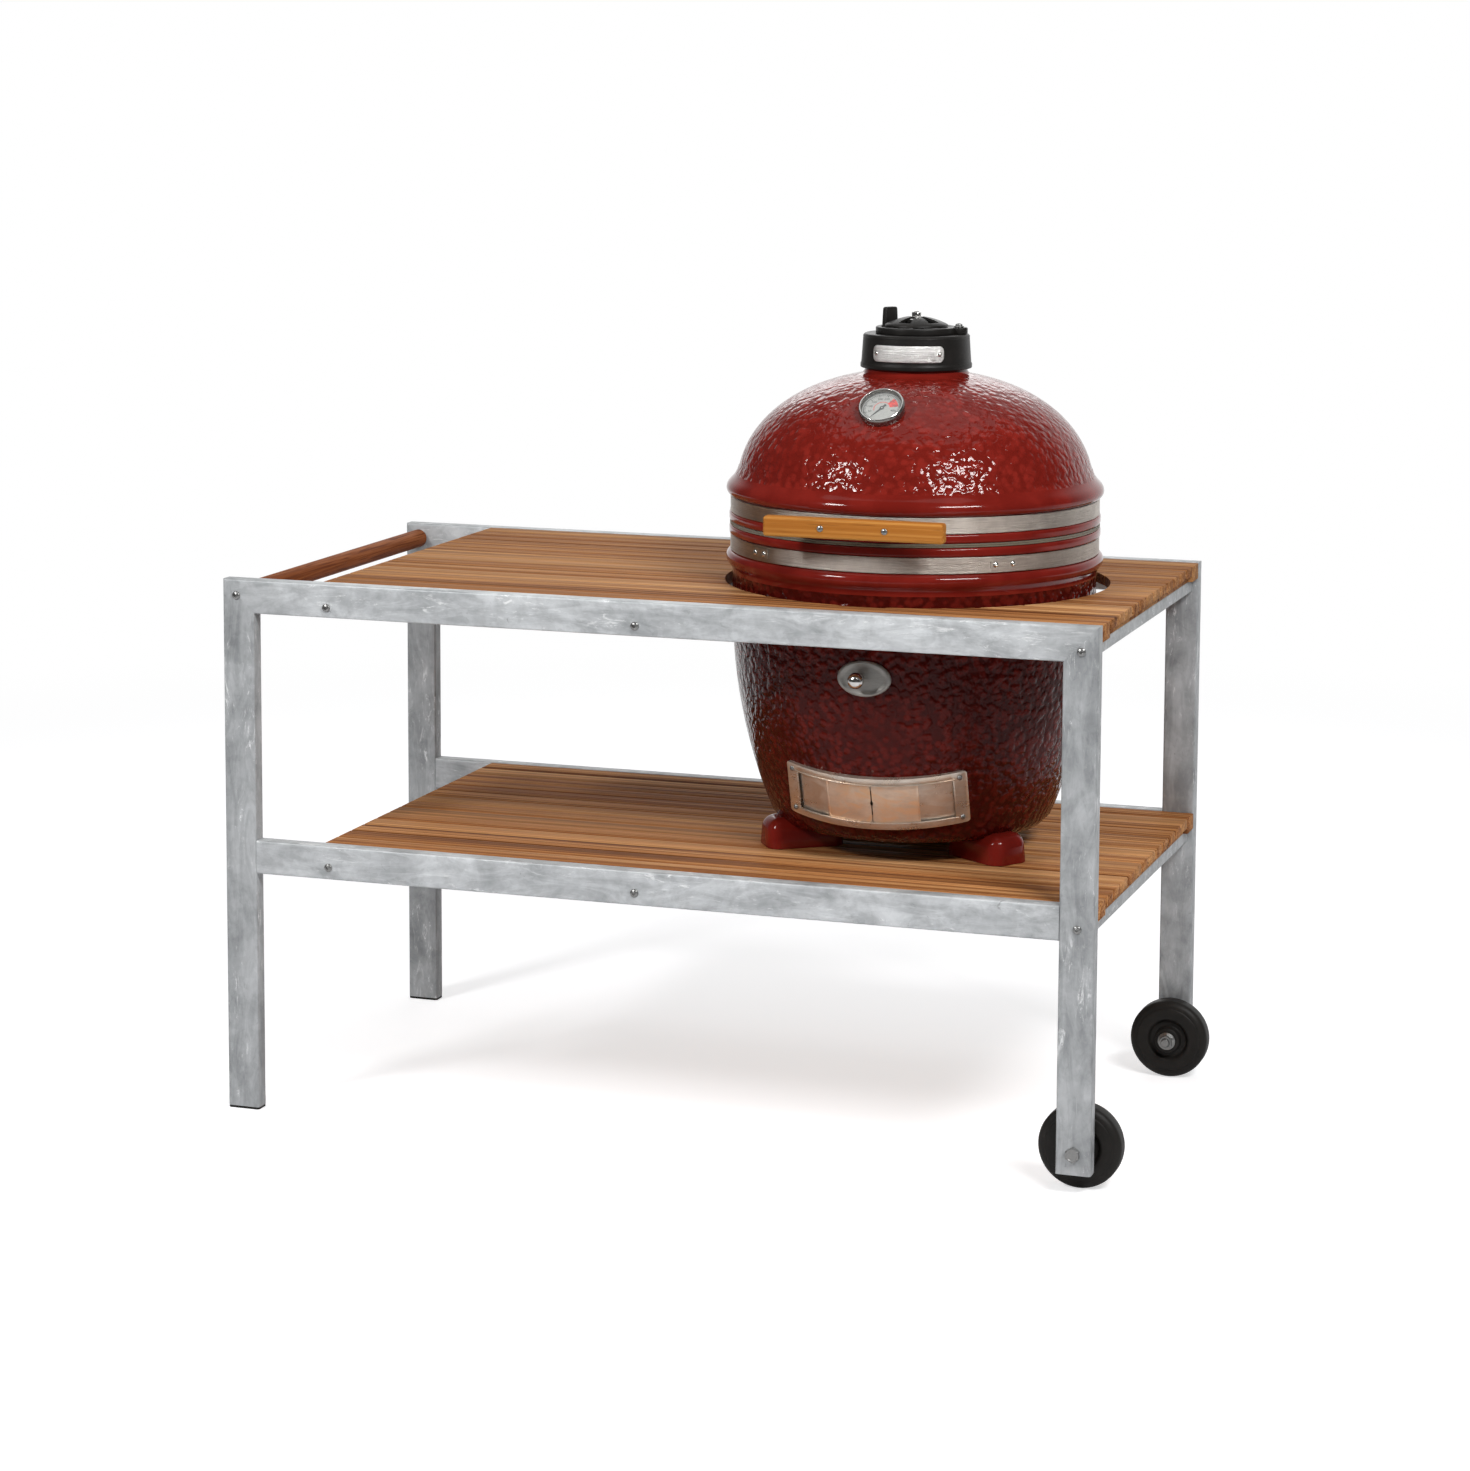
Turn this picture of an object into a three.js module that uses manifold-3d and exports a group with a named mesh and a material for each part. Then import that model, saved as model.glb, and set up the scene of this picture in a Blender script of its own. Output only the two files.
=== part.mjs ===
// A kamado grill table: a galvanised tube frame on two feet and two wheels, with a slatted top deck and
// lower shelf, a round push bar, and a ceramic kamado that stands on the shelf and rises through the deck.
// Millimetres, +Z up, +X to the wheels, -Y to the front. The origin is on the floor, under the middle.
import * as THREE from "three";
import { mergeVertices } from "three/addons/utils/BufferGeometryUtils.js";
import Module from "manifold-3d";

const wasm = await Module();
wasm.setup();

// General fits
const fit = 0.3;
const overrun = 6;
const weld = 1;

// Table frame
const tableLength = 1320;
const tableHeight = 800;
const tubeWidth = 50;
const tubeDepth = 25;
const tubeWall = 2;
const tubeCorner = 3;
const rightLegClearance = 30;
const footFlange = 3;
const footPlugHeight = 18;
const footPlugWall = 2.5;

// Cross members under the decks
const crossWidth = 30;
const crossHeight = 20;
const crossWall = 1.5;
const crossCorner = 2.5;
const crossDrop = 35;
const crossLeftX = 167;
const crossHoleGap = 30;
const crossEndInset = 24;

// Wooden decks and push bar
const deckLeftX = 150;
const deckSideGap = 1;
const slatCount = 14;
const slatGap = 3.5;
const slatThickness = 15;
const battenWidth = 34;
const deckHoleGap = 16;
const deckHoleSide = 36.5;
const deckHoleEnd = 73;
const barDiameter = 29;
const barX = 22;
const barDrop = 24;

// Wheels on the right legs
const wheelDiameter = 120;
const wheelWidth = 38;
const wheelShoulder = 6;
const hubWidth = 52;
const hubDiameter = 38;
const hubRecessDiameter = 64;
const hubRecessDepth = 7;
const axleDiameter = 12;
const axleHeadAcross = 19;
const axleHeadHeight = 7.5;
const axleTail = 3;
const nutHeight = 10;
const nutFlangeDiameter = 27;
const nutFlangeHeight = 2;

// Kamado; its heights are taken from the shelf it stands on, and the table's depth follows its radius
const kamadoBack = 8;
const kamadoLeft = 5;
const bodyRadius = 269;
const bodyBottom = 33;
const bodyTaper = 61;
const bodyCornerIn = 18;
const bodyCornerHeight = 14;
const bodyStraight = 45;
const bodyTaperRise = 143;
const baseWall = 27;
const baseFloor = 23;
const flareOut = 8.5;
const flareHeight = 20;
const bandSeatOut = 1;
const bandHeight = 23;
const bandThickness = 2;
const bandMargin = 1;
const lipOut = 4;
const lipHeight = 13;
const rimWidth = 29;
const rimRound = 2;
const baseRim = 473;
const rimAboveDeck = 83;
const gasketThickness = 2.4;
const gasketInset = 1;
const domeInset = 5;
const domeSink = 7.7;
const domeRise = 183;
const domeExponent = 2.2;
const domeShoulderRise = 20;
const lidWall = 24;
const neckRadius = 75;
const neckHeight = 36;
const neckWall = 25;

// Handle on the lid band
const handleLength = 264;
const handleHeight = 29;
const handleDepth = 20;
const handleProud = 50;
const handleRound = 4;
const handleDrop = 2;
const bracketSpacing = 94;
const bracketWidth = 22;
const bracketHeight = 16;
const bracketSheet = 3;

// Hinge behind the bands
const hingeProud = 48;
const hingeLift = 2.5;
const pinDiameter = 10;
const pinHeadDiameter = 17;
const pinHeadHeight = 4;
const cheekSpacing = 124;
const hingeSheet = 4;
const cheekRound = 11;
const cheekSweep = 60;
const saddleWidth = 150;
const ledgeWidth = 36;
const ledgeReach = 24;
const springWire = 4.5;
const springMeanDiameter = 24;
const springInner = 10;
const springTurns = 5;
const springPitch = 6.2;
const springLegLength = 26;
const springSteps = 8;
const springSides = 5;

// Cast vent on the neck
const neckGap = 0.8;
const ventLap = 33;
const ventHeight = 50;
const ventTopWall = 3;
const ventBottomWall = 6.5;
const ventEdge = 3;
const ventLipOut = 4;
const ventTurn = 5.5;
const swingLap = 6;
const swingThickness = 9.5;
const swingPivotOut = 3;
const swingBossRadius = 13;
const tabWidth = 27;
const tabThickness = 8;
const tabHeight = 28;
const tabInset = 6;
const tabTurn = 147;
const tabTopShare = 0.86;
const petalCount = 5;
const petalShare = 0.42;
const petalInner = 12;
const petalMargin = 8;
const damperInset = 14;
const damperRise = 12;
const damperSheet = 3;
const damperStud = 5;
const damperNutRadius = 6.5;
const damperNutHeight = 4;
const pivotScrewRadius = 4;
const pivotHeadRadius = 6.5;
const pivotHeadHeight = 4;
const pivotScrewDepth = 12;
const plateWidth = 112;
const plateHeight = 24;
const plateCorner = 8;
const plateThickness = 1;
const plateDrop = 25.5;

// Thermometer on the lid
const dialRadius = 29;
const caseRim = 4.5;
const caseDepth = 12;
const caseBezel = 2.5;
const caseFloor = 3;
const thermometerInset = 76;
const thermometerShift = 4;
const thermometerTilt = 40;
const thermometerSink = 3;
const stemRadius = 4;
const stemLength = 60;
const dialThickness = 1;
const glassThickness = 1.5;
const needleMargin = 7;
const needleTail = 7;
const needleWidth = 2.4;
const needleThickness = 0.8;
const needleHubRadius = 3.2;
const needleTurn = 215;
const spindleRadius = 1.2;

// Draft door low in the base
const draftRise = 63;
const draftProud = 26.4;
const draftFlatter = 2;
const draftTilt = 18;
const draftTurn = 1.5;
const draftPlateHeight = 82;
const draftPlateAngle = 34.5;
const draftWindowHeight = 60;
const draftWindowAngle = 29.5;
const draftSheet = 1.5;
const draftGap = 0.9;
const draftDoorAngle = 17;
const draftDoorSeam = 0.2;
const draftPortAngle = 14;
const draftPortHeight = 40;
const draftReturn = 34;
const draftPullHeight = 16;
const draftPullDepth = 3;

// Feeder cover on the front of the base
const feederDrop = 76;
const feederShift = 4;
const coverWidth = 80;
const coverHeight = 52;
const coverThickness = 2;
const plugDiameter = 38;
const plugLength = 44;
const knobDiameter = 24;
const knobStemRadius = 5;
const knobStand = 6;
const knobWaistAngle = -55;
const knobShift = -6;

// Ceramic feet
const footWidth = 68;
const footTall = 43;
const footUnder = 78;
const footReach = 39;
const footRound = 22;
const frontFootAngle = 56;

// Inside the kamado
const fireBowl = 95;
const fireBoxFootGap = 16;
const fireBoxTopGap = 37;
const fireWall = 18;
const fireLedgeRise = 79;
const fireSeatWidth = 20;
const fireThroatLedge = 40;
const grateDrop = 51;
const fireRingGap = 10;
const fireRingStep = 48;
const charcoalGap = 11;
const charcoalThickness = 8;
const charcoalSlots = 7;
const charcoalSlotWidth = 9;
const charcoalMargin = 12;
const grateInset = 6;
const grateWire = 7;
const rodWire = 5;
const rodPitch = 26;

// Facets
const kamadoSegments = 40;
const draftSegments = 72;
const ventSegments = 32;
const wheelSegments = 24;
const smallSegments = 24;
const boltSegments = 12;
const holeSegments = 48;
const curveSteps = 5;
const domeSteps = 8;
const insideSteps = 5;
const flareSteps = 3;
const sectorStep = 30;
const hexSides = 6;

// Places worked out from the sizes
const deckHoleRadius = bodyRadius + deckHoleGap;
const tableDepth = 2 * (deckHoleRadius + deckHoleSide + deckSideGap + tubeDepth);
const deckHoleX = tableLength - deckHoleEnd - deckHoleRadius;
const kamadoX = deckHoleX - kamadoLeft;
const crossMiddleX = deckHoleX - deckHoleRadius - crossHoleGap;
const crossRightX = tableLength - crossEndInset;
const shelfHeight = tableHeight - baseRim + rimAboveDeck;
const wheelRadius = wheelDiameter / 2;
const partLength = tableLength + wheelRadius - tubeWidth / 2;
const leftEdge = -partLength / 2;
const axleX = leftEdge + tableLength - tubeWidth / 2;
const railY = tableDepth / 2 - tubeDepth / 2;
const innerY = tableDepth / 2 - tubeDepth;
const deckThickness = crossDrop - crossHeight / 2 - 2 * fit;
const shelfTop = shelfHeight - fit;
const kamadoFloor = shelfTop + fit;
const lidRim = baseRim + 2 * gasketThickness + 3 * fit;
const baseLipBottom = baseRim - lipHeight;
const baseBandTop = baseLipBottom - bandMargin;
const baseBandBottom = baseBandTop - bandHeight;
const baseFlareMiddle = baseBandBottom - bandMargin - flareHeight / 2;
const bodyCurveTop = baseFlareMiddle - flareHeight - bodyStraight;
const bodyTaperHeight = bodyBottom + bodyCornerHeight + bodyTaperRise;
const lidLipTop = lidRim + lipHeight;
const lidBandBottom = lidLipTop + bandMargin;
const lidBandTop = lidBandBottom + bandHeight;
const lidFlareMiddle = lidBandTop + bandMargin + flareHeight / 2;
const domeCentre = lidFlareMiddle - domeSink;
const domeShoulder = domeCentre + domeShoulderRise;
const neckTop = domeCentre + domeRise + neckHeight;
const bodyCornerRadius = bodyRadius - bodyTaper;
const bodyBottomRadius = bodyCornerRadius - bodyCornerIn;
const bandSeatRadius = bodyRadius + bandSeatOut;
const lipRadius = bandSeatRadius + lipOut;
const rimInner = lipRadius - rimWidth;
const bandRadius = bandSeatRadius + fit + bandThickness;
const handleReach = bandSeatRadius + handleProud;
const hingeBack = bandSeatRadius + hingeProud;
const hingeHeight = baseBandBottom + bandHeight / 2 + hingeLift;
const domeRadius = bodyRadius - domeInset;
const thermometerRadius = domeRadius - thermometerInset;
const caseRadius = dialRadius + caseRim;
const needleLength = dialRadius - needleMargin;
const flueRadius = neckRadius - neckWall;
const ventTop = neckTop - ventLap + ventHeight;
const ventTopRadius = neckRadius + ventTopWall;
const ventBottomRadius = neckRadius + ventBottomWall;
const ventLipRadius = flueRadius + ventLipOut;
const swingRadius = ventLipRadius + swingLap;
const swingPivotRadius = swingRadius + swingPivotOut;
const tabRadius = swingRadius - tabInset;
const damperRadius = swingRadius - damperInset;
const petalOuter = damperRadius - petalMargin;
const draftCentre = bodyBottom + draftRise;
const draftFront = bodyCornerRadius + draftProud;
const draftRadius = draftFront + draftFlatter;
const feederHeight = bodyCurveTop - feederDrop;
const footInner = bodyBottomRadius - footUnder;
const footOuter = bodyBottomRadius + footReach;
const insideRadius = bodyRadius - baseWall;
const fireLedge = bodyBottom + baseFloor + fireLedgeRise;
const fireBoxTop = fireLedge + fireBowl;
const fireRingTop = baseRim - grateDrop;
const fireBoxBottomRadius = bodyCornerRadius - baseWall - fireBoxFootGap;
const fireBoxTopRadius = insideRadius - fireBoxTopGap;
const fireThroat = fireBoxBottomRadius - fireThroatLedge;
const fireSeat = fireThroat + fireSeatWidth;
const fireRingRadius = insideRadius - fireRingGap;
const charcoalRadius = fireSeat - charcoalGap;
const grateRadius = fireRingRadius - grateInset;
const radians = THREE.MathUtils.degToRad;

// Materials
function finish(color, roughness, metalness) {
  return new THREE.MeshStandardMaterial({ color, roughness, metalness });
}
const galvanised = finish(0xb4b9ba, 0.5, 0.8);
const teak = finish(0xb07b4a, 0.6, 0);
const barWood = finish(0x96542e, 0.5, 0);
const bamboo = finish(0xcf8f45, 0.45, 0);
const blackPlastic = finish(0x1d1a18, 0.45, 0);
const boltSteel = finish(0xc8cac8, 0.35, 0.9);
const glaze = finish(0x6e1712, 0.12, 0);
const stainless = finish(0xc9c5bf, 0.3, 0.95);
const felt = finish(0x55523f, 0.95, 0);
const castIron = finish(0x1c1b1a, 0.55, 0.3);
const dialFace = finish(0xe6e4dc, 0.5, 0);
const clearGlass = finish(0xe8f0f0, 0.05, 0);
const needleRed = finish(0xb02018, 0.5, 0);
const firedClay = finish(0xb9a68c, 0.85, 0);
const springSteel = finish(0x8d8f90, 0.35, 0.9);

// Closed meshes and booleans
function closed(geometry) {
  const bare = new THREE.BufferGeometry();
  bare.setAttribute("position", geometry.getAttribute("position"));
  if (geometry.index) bare.setIndex(geometry.index);
  const merged = mergeVertices(bare);
  const corners = merged.index.array;
  const kept = [];
  for (let i = 0; i < corners.length; i += 3) {
    const [a, b, c] = [corners[i], corners[i + 1], corners[i + 2]];
    if (a !== b && b !== c && c !== a) kept.push(a, b, c);
  }
  merged.setIndex(kept);
  if (volumeOf(merged) < 0) {
    for (let i = 0; i < kept.length; i += 3) [kept[i + 1], kept[i + 2]] = [kept[i + 2], kept[i + 1]];
    merged.setIndex(kept);
  }
  return merged;
}

function volumeOf(geometry) {
  const at = geometry.getAttribute("position");
  const corners = geometry.index.array;
  const [a, b, c] = [new THREE.Vector3(), new THREE.Vector3(), new THREE.Vector3()];
  let sum = 0;
  for (let i = 0; i < corners.length; i += 3) {
    a.fromBufferAttribute(at, corners[i]);
    b.fromBufferAttribute(at, corners[i + 1]);
    c.fromBufferAttribute(at, corners[i + 2]);
    sum += a.dot(b.cross(c));
  }
  return sum;
}

function solid(geometry) {
  const tidy = closed(geometry);
  const vertProperties = new Float32Array(tidy.getAttribute("position").array);
  const triVerts = new Uint32Array(tidy.index.array);
  return new wasm.Manifold(new wasm.Mesh({ numProp: 3, vertProperties, triVerts }));
}

function shell(body) {
  const mesh = body.getMesh();
  const geometry = new THREE.BufferGeometry();
  geometry.setAttribute("position", new THREE.BufferAttribute(new Float32Array(mesh.vertProperties), 3));
  geometry.setIndex([...mesh.triVerts]);
  return geometry;
}

function joined(...geometries) {
  return shell(geometries.map(solid).reduce((all, one) => all.add(one)));
}

function cut(geometry, ...cutters) {
  return shell(cutters.map(solid).reduce((left, cutter) => left.subtract(cutter), solid(geometry)));
}

function shared(first, ...others) {
  return shell(others.map(solid).reduce((left, one) => left.intersect(one), solid(first)));
}

// Basic forms
function block(width, depth, height, x = 0, y = 0, z = 0) {
  return new THREE.BoxGeometry(width, depth, height).translate(x, y, z);
}

function turned(profile, segments) {
  const points = profile.map(([r, z]) => new THREE.Vector2(r, z));
  return closed(new THREE.LatheGeometry(points, segments).rotateX(Math.PI / 2));
}

function ring(inner, outer, bottom, top, segments) {
  return turned([[inner, bottom], [outer, bottom], [outer, top], [inner, top], [inner, bottom]], segments);
}

function rod(radius, bottom, top, segments) {
  return turned([[0, bottom], [radius, bottom], [radius, top], [0, top]], segments);
}

function rodAlongY(radius, from, to, x, z, segments) {
  return rod(radius, from, to, segments).rotateX(-Math.PI / 2).translate(x, 0, z);
}

function prism(points, height) {
  const shape = new THREE.Shape(points.map(([x, y]) => new THREE.Vector2(x, y)));
  return new THREE.ExtrudeGeometry(shape, { depth: height, bevelEnabled: false });
}

// A prism whose outline lies in the YZ plane and whose thickness is centred on x
function sidePrism(points, thickness, x = 0) {
  const standing = prism(points, thickness).rotateY(Math.PI / 2).rotateX(Math.PI / 2);
  return standing.translate(x - thickness / 2, 0, 0);
}

function arc(x, y, radiusX, radiusY, from, to, steps) {
  const points = [];
  for (let i = 0; i <= steps; i++) {
    const angle = radians(from + ((to - from) * i) / steps);
    points.push([x + radiusX * Math.cos(angle), y + radiusY * Math.sin(angle)]);
  }
  return points;
}

function roundedOutline(width, height, radius, steps) {
  const x = width / 2 - radius;
  const y = height / 2 - radius;
  return [
    ...arc(x, y, radius, radius, 0, 90, steps),
    ...arc(-x, y, radius, radius, 90, 180, steps),
    ...arc(-x, -y, radius, radius, 180, 270, steps),
    ...arc(x, -y, radius, radius, 270, 360, steps),
  ];
}

// The space between two angles about the kamado's axis; 0 is the front and angles grow towards +X
function sector(from, to, radius, bottom, top) {
  const points = [[0, 0]];
  const steps = Math.ceil((to - from) / sectorStep);
  for (let i = 0; i <= steps; i++) {
    const angle = radians(from + ((to - from) * i) / steps);
    points.push([2 * radius * Math.sin(angle), -2 * radius * Math.cos(angle)]);
  }
  return prism(points, top - bottom).translate(0, 0, bottom);
}

// An outline around the axis, moved out by a distance square to each of its sides
function grown(profile, distance) {
  return profile.map(([r, z], i) => {
    const [r0, z0] = profile[Math.max(i - 1, 0)];
    const [r1, z1] = profile[Math.min(i + 1, profile.length - 1)];
    const along = new THREE.Vector2(r1 - r0, z1 - z0).normalize();
    return [Math.max(r + along.y * distance, 0), z - along.x * distance];
  });
}

// The part
const group = new THREE.Group();

function place(parent, name, geometry, material, x = 0, y = 0, z = 0) {
  const mesh = new THREE.Mesh(closed(geometry), material);
  mesh.name = name;
  mesh.position.set(x, y, z);
  parent.add(mesh);
  return mesh;
}

// Rectangular tube along Z with its longest side on +X or -X where an end is mitred
function tube([width, depth, wall, corner], length, mitre = { start: 0, end: 0, longSide: 1 }) {
  const outline = roundedOutline(width, depth, corner, 1).map(([x, y]) => new THREE.Vector2(x, y));
  const shape = new THREE.Shape(outline);
  const [inX, inY] = [width / 2 - wall, depth / 2 - wall];
  const bore = [[inX, inY], [-inX, inY], [-inX, -inY], [inX, -inY]];
  shape.holes.push(new THREE.Path(bore.map(([x, y]) => new THREE.Vector2(x, y))));
  const geometry = new THREE.ExtrudeGeometry(shape, { depth: length, bevelEnabled: false });
  const at = geometry.getAttribute("position");
  for (let i = 0; i < at.count; i++) {
    const back = width / 2 - mitre.longSide * at.getX(i);
    const atEnd = at.getZ(i) > length / 2;
    at.setZ(i, at.getZ(i) + (atEnd ? -mitre.end * back : mitre.start * back));
  }
  return closed(geometry);
}

function frameSide(side, word) {
  const section = [tubeWidth, tubeDepth, tubeWall, tubeCorner];
  const y = side * railY;
  const legX = leftEdge + tubeWidth / 2;
  const farLegX = leftEdge + tableLength - tubeWidth / 2;
  const mitreGap = fit * Math.SQRT2;
  const leftFoot = footFlange + fit;
  const leftLength = tableHeight - leftFoot - mitreGap;
  const leftLeg = tube(section, leftLength, { start: 0, end: 1, longSide: -1 });
  place(group, word + "_left_leg", leftLeg, galvanised, legX, y, leftFoot);
  const rightLength = tableHeight - rightLegClearance - mitreGap;
  const rightLeg = tube(section, rightLength, { start: 0, end: 1, longSide: 1 });
  const holeX = axleX - farLegX;
  const holeZ = wheelRadius - rightLegClearance;
  const holeRadius = axleDiameter / 2 + fit;
  const axleHole = rodAlongY(holeRadius, -tubeDepth, tubeDepth, holeX, holeZ, boltSegments);
  place(group, word + "_right_leg", cut(rightLeg, axleHole), galvanised, farLegX, y, rightLegClearance);
  const topRail = tube(section, tableLength, { start: 1, end: 1, longSide: -1 });
  const topZ = tableHeight - tubeWidth / 2;
  place(group, word + "_top_rail", topRail.rotateY(Math.PI / 2), galvanised, leftEdge, y, topZ);
  const lowerLength = tableLength - 2 * tubeWidth - 2 * fit;
  const lowerRail = tube(section, lowerLength);
  const lowerX = leftEdge + tubeWidth + fit;
  const lowerZ = shelfHeight - tubeWidth / 2;
  place(group, word + "_lower_rail", lowerRail.rotateY(Math.PI / 2), galvanised, lowerX, y, lowerZ);
  const plugWidth = tubeWidth - 2 * tubeWall - 2 * fit;
  const plugDepth = tubeDepth - 2 * tubeWall - 2 * fit;
  const plug = block(plugWidth, plugDepth, footPlugHeight, 0, 0, footFlange + footPlugHeight / 2 - weld / 2);
  const hollowTop = footPlugHeight + footFlange;
  const [hollowWidth, hollowDepth] = [plugWidth - 2 * footPlugWall, plugDepth - 2 * footPlugWall];
  const hollow = block(hollowWidth, hollowDepth, hollowTop, 0, 0, footFlange + hollowTop / 2);
  const flange = prism(roundedOutline(tubeWidth, tubeDepth, tubeCorner, 1), footFlange);
  place(group, word + "_left_foot", cut(joined(flange, plug), hollow), blackPlastic, legX, y, 0);
}
frameSide(-1, "front");
frameSide(1, "back");

function crossMembers() {
  const spots = { left: crossLeftX, middle: crossMiddleX, right: crossRightX };
  const levels = { top: tableHeight, lower: shelfHeight };
  const section = [crossWidth, crossHeight, crossWall, crossCorner];
  const length = 2 * innerY - 2 * fit;
  for (const [level, height] of Object.entries(levels)) {
    for (const [spot, x] of Object.entries(spots)) {
      const member = tube(section, length).rotateX(Math.PI / 2);
      const name = `${level}_${spot}_cross_member`;
      place(group, name, member, galvanised, leftEdge + x, length / 2, height - crossDrop);
    }
  }
}
crossMembers();

// Slats and battens in one deck, its top at z = 0 and its left end at x = 0
function deck() {
  const length = tableLength - deckLeftX;
  const width = 2 * (innerY - deckSideGap);
  const slatWidth = (width - (slatCount - 1) * slatGap) / slatCount;
  const pieces = [];
  for (let i = 0; i < slatCount; i++) {
    const y = -width / 2 + slatWidth / 2 + i * (slatWidth + slatGap);
    const onEdge = i === 0 || i === slatCount - 1;
    const tall = onEdge ? deckThickness : slatThickness;
    pieces.push(block(length, slatWidth, tall, length / 2, y, -tall / 2));
  }
  const battenTall = deckThickness - slatThickness + weld;
  for (const x of [crossLeftX, crossMiddleX, crossRightX]) {
    const batten = block(battenWidth, width - slatWidth, battenTall, x - deckLeftX);
    pieces.push(batten.translate(0, 0, battenTall / 2 - deckThickness));
  }
  return joined(...pieces);
}

function decks() {
  const x = leftEdge + deckLeftX;
  const top = tableHeight - fit;
  const hole = rod(deckHoleRadius, -deckThickness - overrun, overrun, holeSegments);
  const around = hole.translate(deckHoleX - deckLeftX, kamadoBack, 0);
  place(group, "top_deck", cut(deck(), around), teak, x, 0, top);
  place(group, "lower_shelf", deck(), teak, x, 0, shelfTop);
  const barLength = 2 * innerY - 2 * fit;
  const bar = rodAlongY(barDiameter / 2, -barLength / 2, barLength / 2, 0, 0, smallSegments);
  place(group, "push_bar", bar, barWood, leftEdge + barX, 0, tableHeight - barDrop);
}
decks();

function wheelProfile() {
  const half = wheelWidth / 2;
  const bore = axleDiameter / 2 + fit;
  const recess = hubRecessDiameter / 2;
  const corner = wheelRadius - wheelShoulder;
  const flank = half - hubRecessDepth;
  return [
    [bore, -hubWidth / 2],
    [hubDiameter / 2, -hubWidth / 2],
    [hubDiameter / 2, -flank],
    [recess - wheelShoulder / 2, -flank],
    [recess, -half],
    ...arc(corner, -half + wheelShoulder, wheelShoulder, wheelShoulder, -90, 0, 1),
    ...arc(corner, half - wheelShoulder, wheelShoulder, wheelShoulder, 0, 90, 1),
    [recess, half],
    [recess - wheelShoulder / 2, flank],
    [hubDiameter / 2, flank],
    [hubDiameter / 2, hubWidth / 2],
    [bore, hubWidth / 2],
    [bore, -hubWidth / 2],
  ];
}

function hexagon(across) {
  return arc(0, 0, across / Math.sqrt(3), across / Math.sqrt(3), 0, 360 - 360 / hexSides, hexSides - 1);
}

// side is -1 at the front and 1 at the back; the bolt's head is on the leg's outer face
function wheelSet(side, word) {
  const corner = new THREE.Group();
  corner.position.set(axleX, (side * tableDepth) / 2, wheelRadius);
  corner.rotation.z = side < 0 ? 0 : Math.PI;
  group.add(corner);
  const wheelY = tubeDepth + fit + hubWidth / 2;
  const nutY = wheelY + hubWidth / 2 + fit;
  const tip = nutY + nutHeight + axleTail;
  const upright = -Math.PI / 2;
  const wheel = turned(wheelProfile(), wheelSegments).rotateX(upright);
  place(corner, word + "_wheel", wheel, blackPlastic, 0, wheelY, 0);
  const head = prism(hexagon(axleHeadAcross), axleHeadHeight).rotateX(upright);
  head.translate(0, -fit - axleHeadHeight, 0);
  const shank = rodAlongY(axleDiameter / 2, -fit - weld, tip, 0, 0, boltSegments);
  place(corner, word + "_axle_bolt", joined(head, shank), boltSteel);
  const hex = prism(hexagon(axleHeadAcross), nutHeight).rotateX(upright);
  const flange = rodAlongY(nutFlangeDiameter / 2, 0, nutFlangeHeight, 0, 0, smallSegments);
  const bore = rodAlongY(axleDiameter / 2 + fit, -overrun, nutHeight + overrun, 0, 0, boltSegments);
  place(corner, word + "_axle_nut", cut(joined(hex, flange), bore), boltSteel, 0, nutY, 0);
}
wheelSet(-1, "front");
wheelSet(1, "back");

// The kamado's outlines, each a list of [radius, height]
function bodyCurve(inset) {
  const start = new THREE.Vector2(bodyCornerRadius, bodyBottom + bodyCornerHeight);
  const control = new THREE.Vector2(bodyRadius, bodyTaperHeight);
  const end = new THREE.Vector2(bodyRadius, bodyCurveTop);
  const curve = new THREE.QuadraticBezierCurve(start, control, end);
  return curve.getPoints(curveSteps).map((p) => [p.x - inset, p.y]);
}

function flare(middle) {
  return arc(bandSeatRadius, middle, flareOut, flareHeight / 2, -90, 90, flareSteps);
}

function baseOutside() {
  return [
    [0, bodyBottom],
    [bodyBottomRadius, bodyBottom],
    ...bodyCurve(0),
    [bodyRadius, baseFlareMiddle - flareHeight],
    ...flare(baseFlareMiddle),
    [bandSeatRadius, baseLipBottom],
    [lipRadius, baseLipBottom + rimRound],
    [lipRadius, baseRim - rimRound],
    [lipRadius - rimRound, baseRim],
  ];
}

function baseInside() {
  const floor = bodyBottom + baseFloor;
  const wall = bodyCurve(baseWall).filter(([, z]) => z > floor + baseWall);
  return [[rimInner, baseRim], ...wall.reverse(), [bodyCornerRadius - baseWall, floor], [0, floor]];
}

// The dome's radius at a height above its centre, and the height at a radius
function domeHeightAt(radius, inset) {
  const share = (radius / (domeRadius - inset)) ** domeExponent;
  return domeCentre + (domeRise - inset) * (1 - share) ** (1 / domeExponent);
}

function domeCurve(inset, from, to, steps) {
  const points = [];
  for (let i = 0; i <= steps; i++) {
    const turn = i / steps;
    const radius = to + (from - to) * Math.sin((Math.PI / 2) * (1 - turn));
    points.push([radius, domeHeightAt(radius, inset)]);
  }
  return points;
}

function domeRadiusAt(height, inset) {
  const share = ((height - domeCentre) / (domeRise - inset)) ** domeExponent;
  return (domeRadius - inset) * (1 - share) ** (1 / domeExponent);
}

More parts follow.
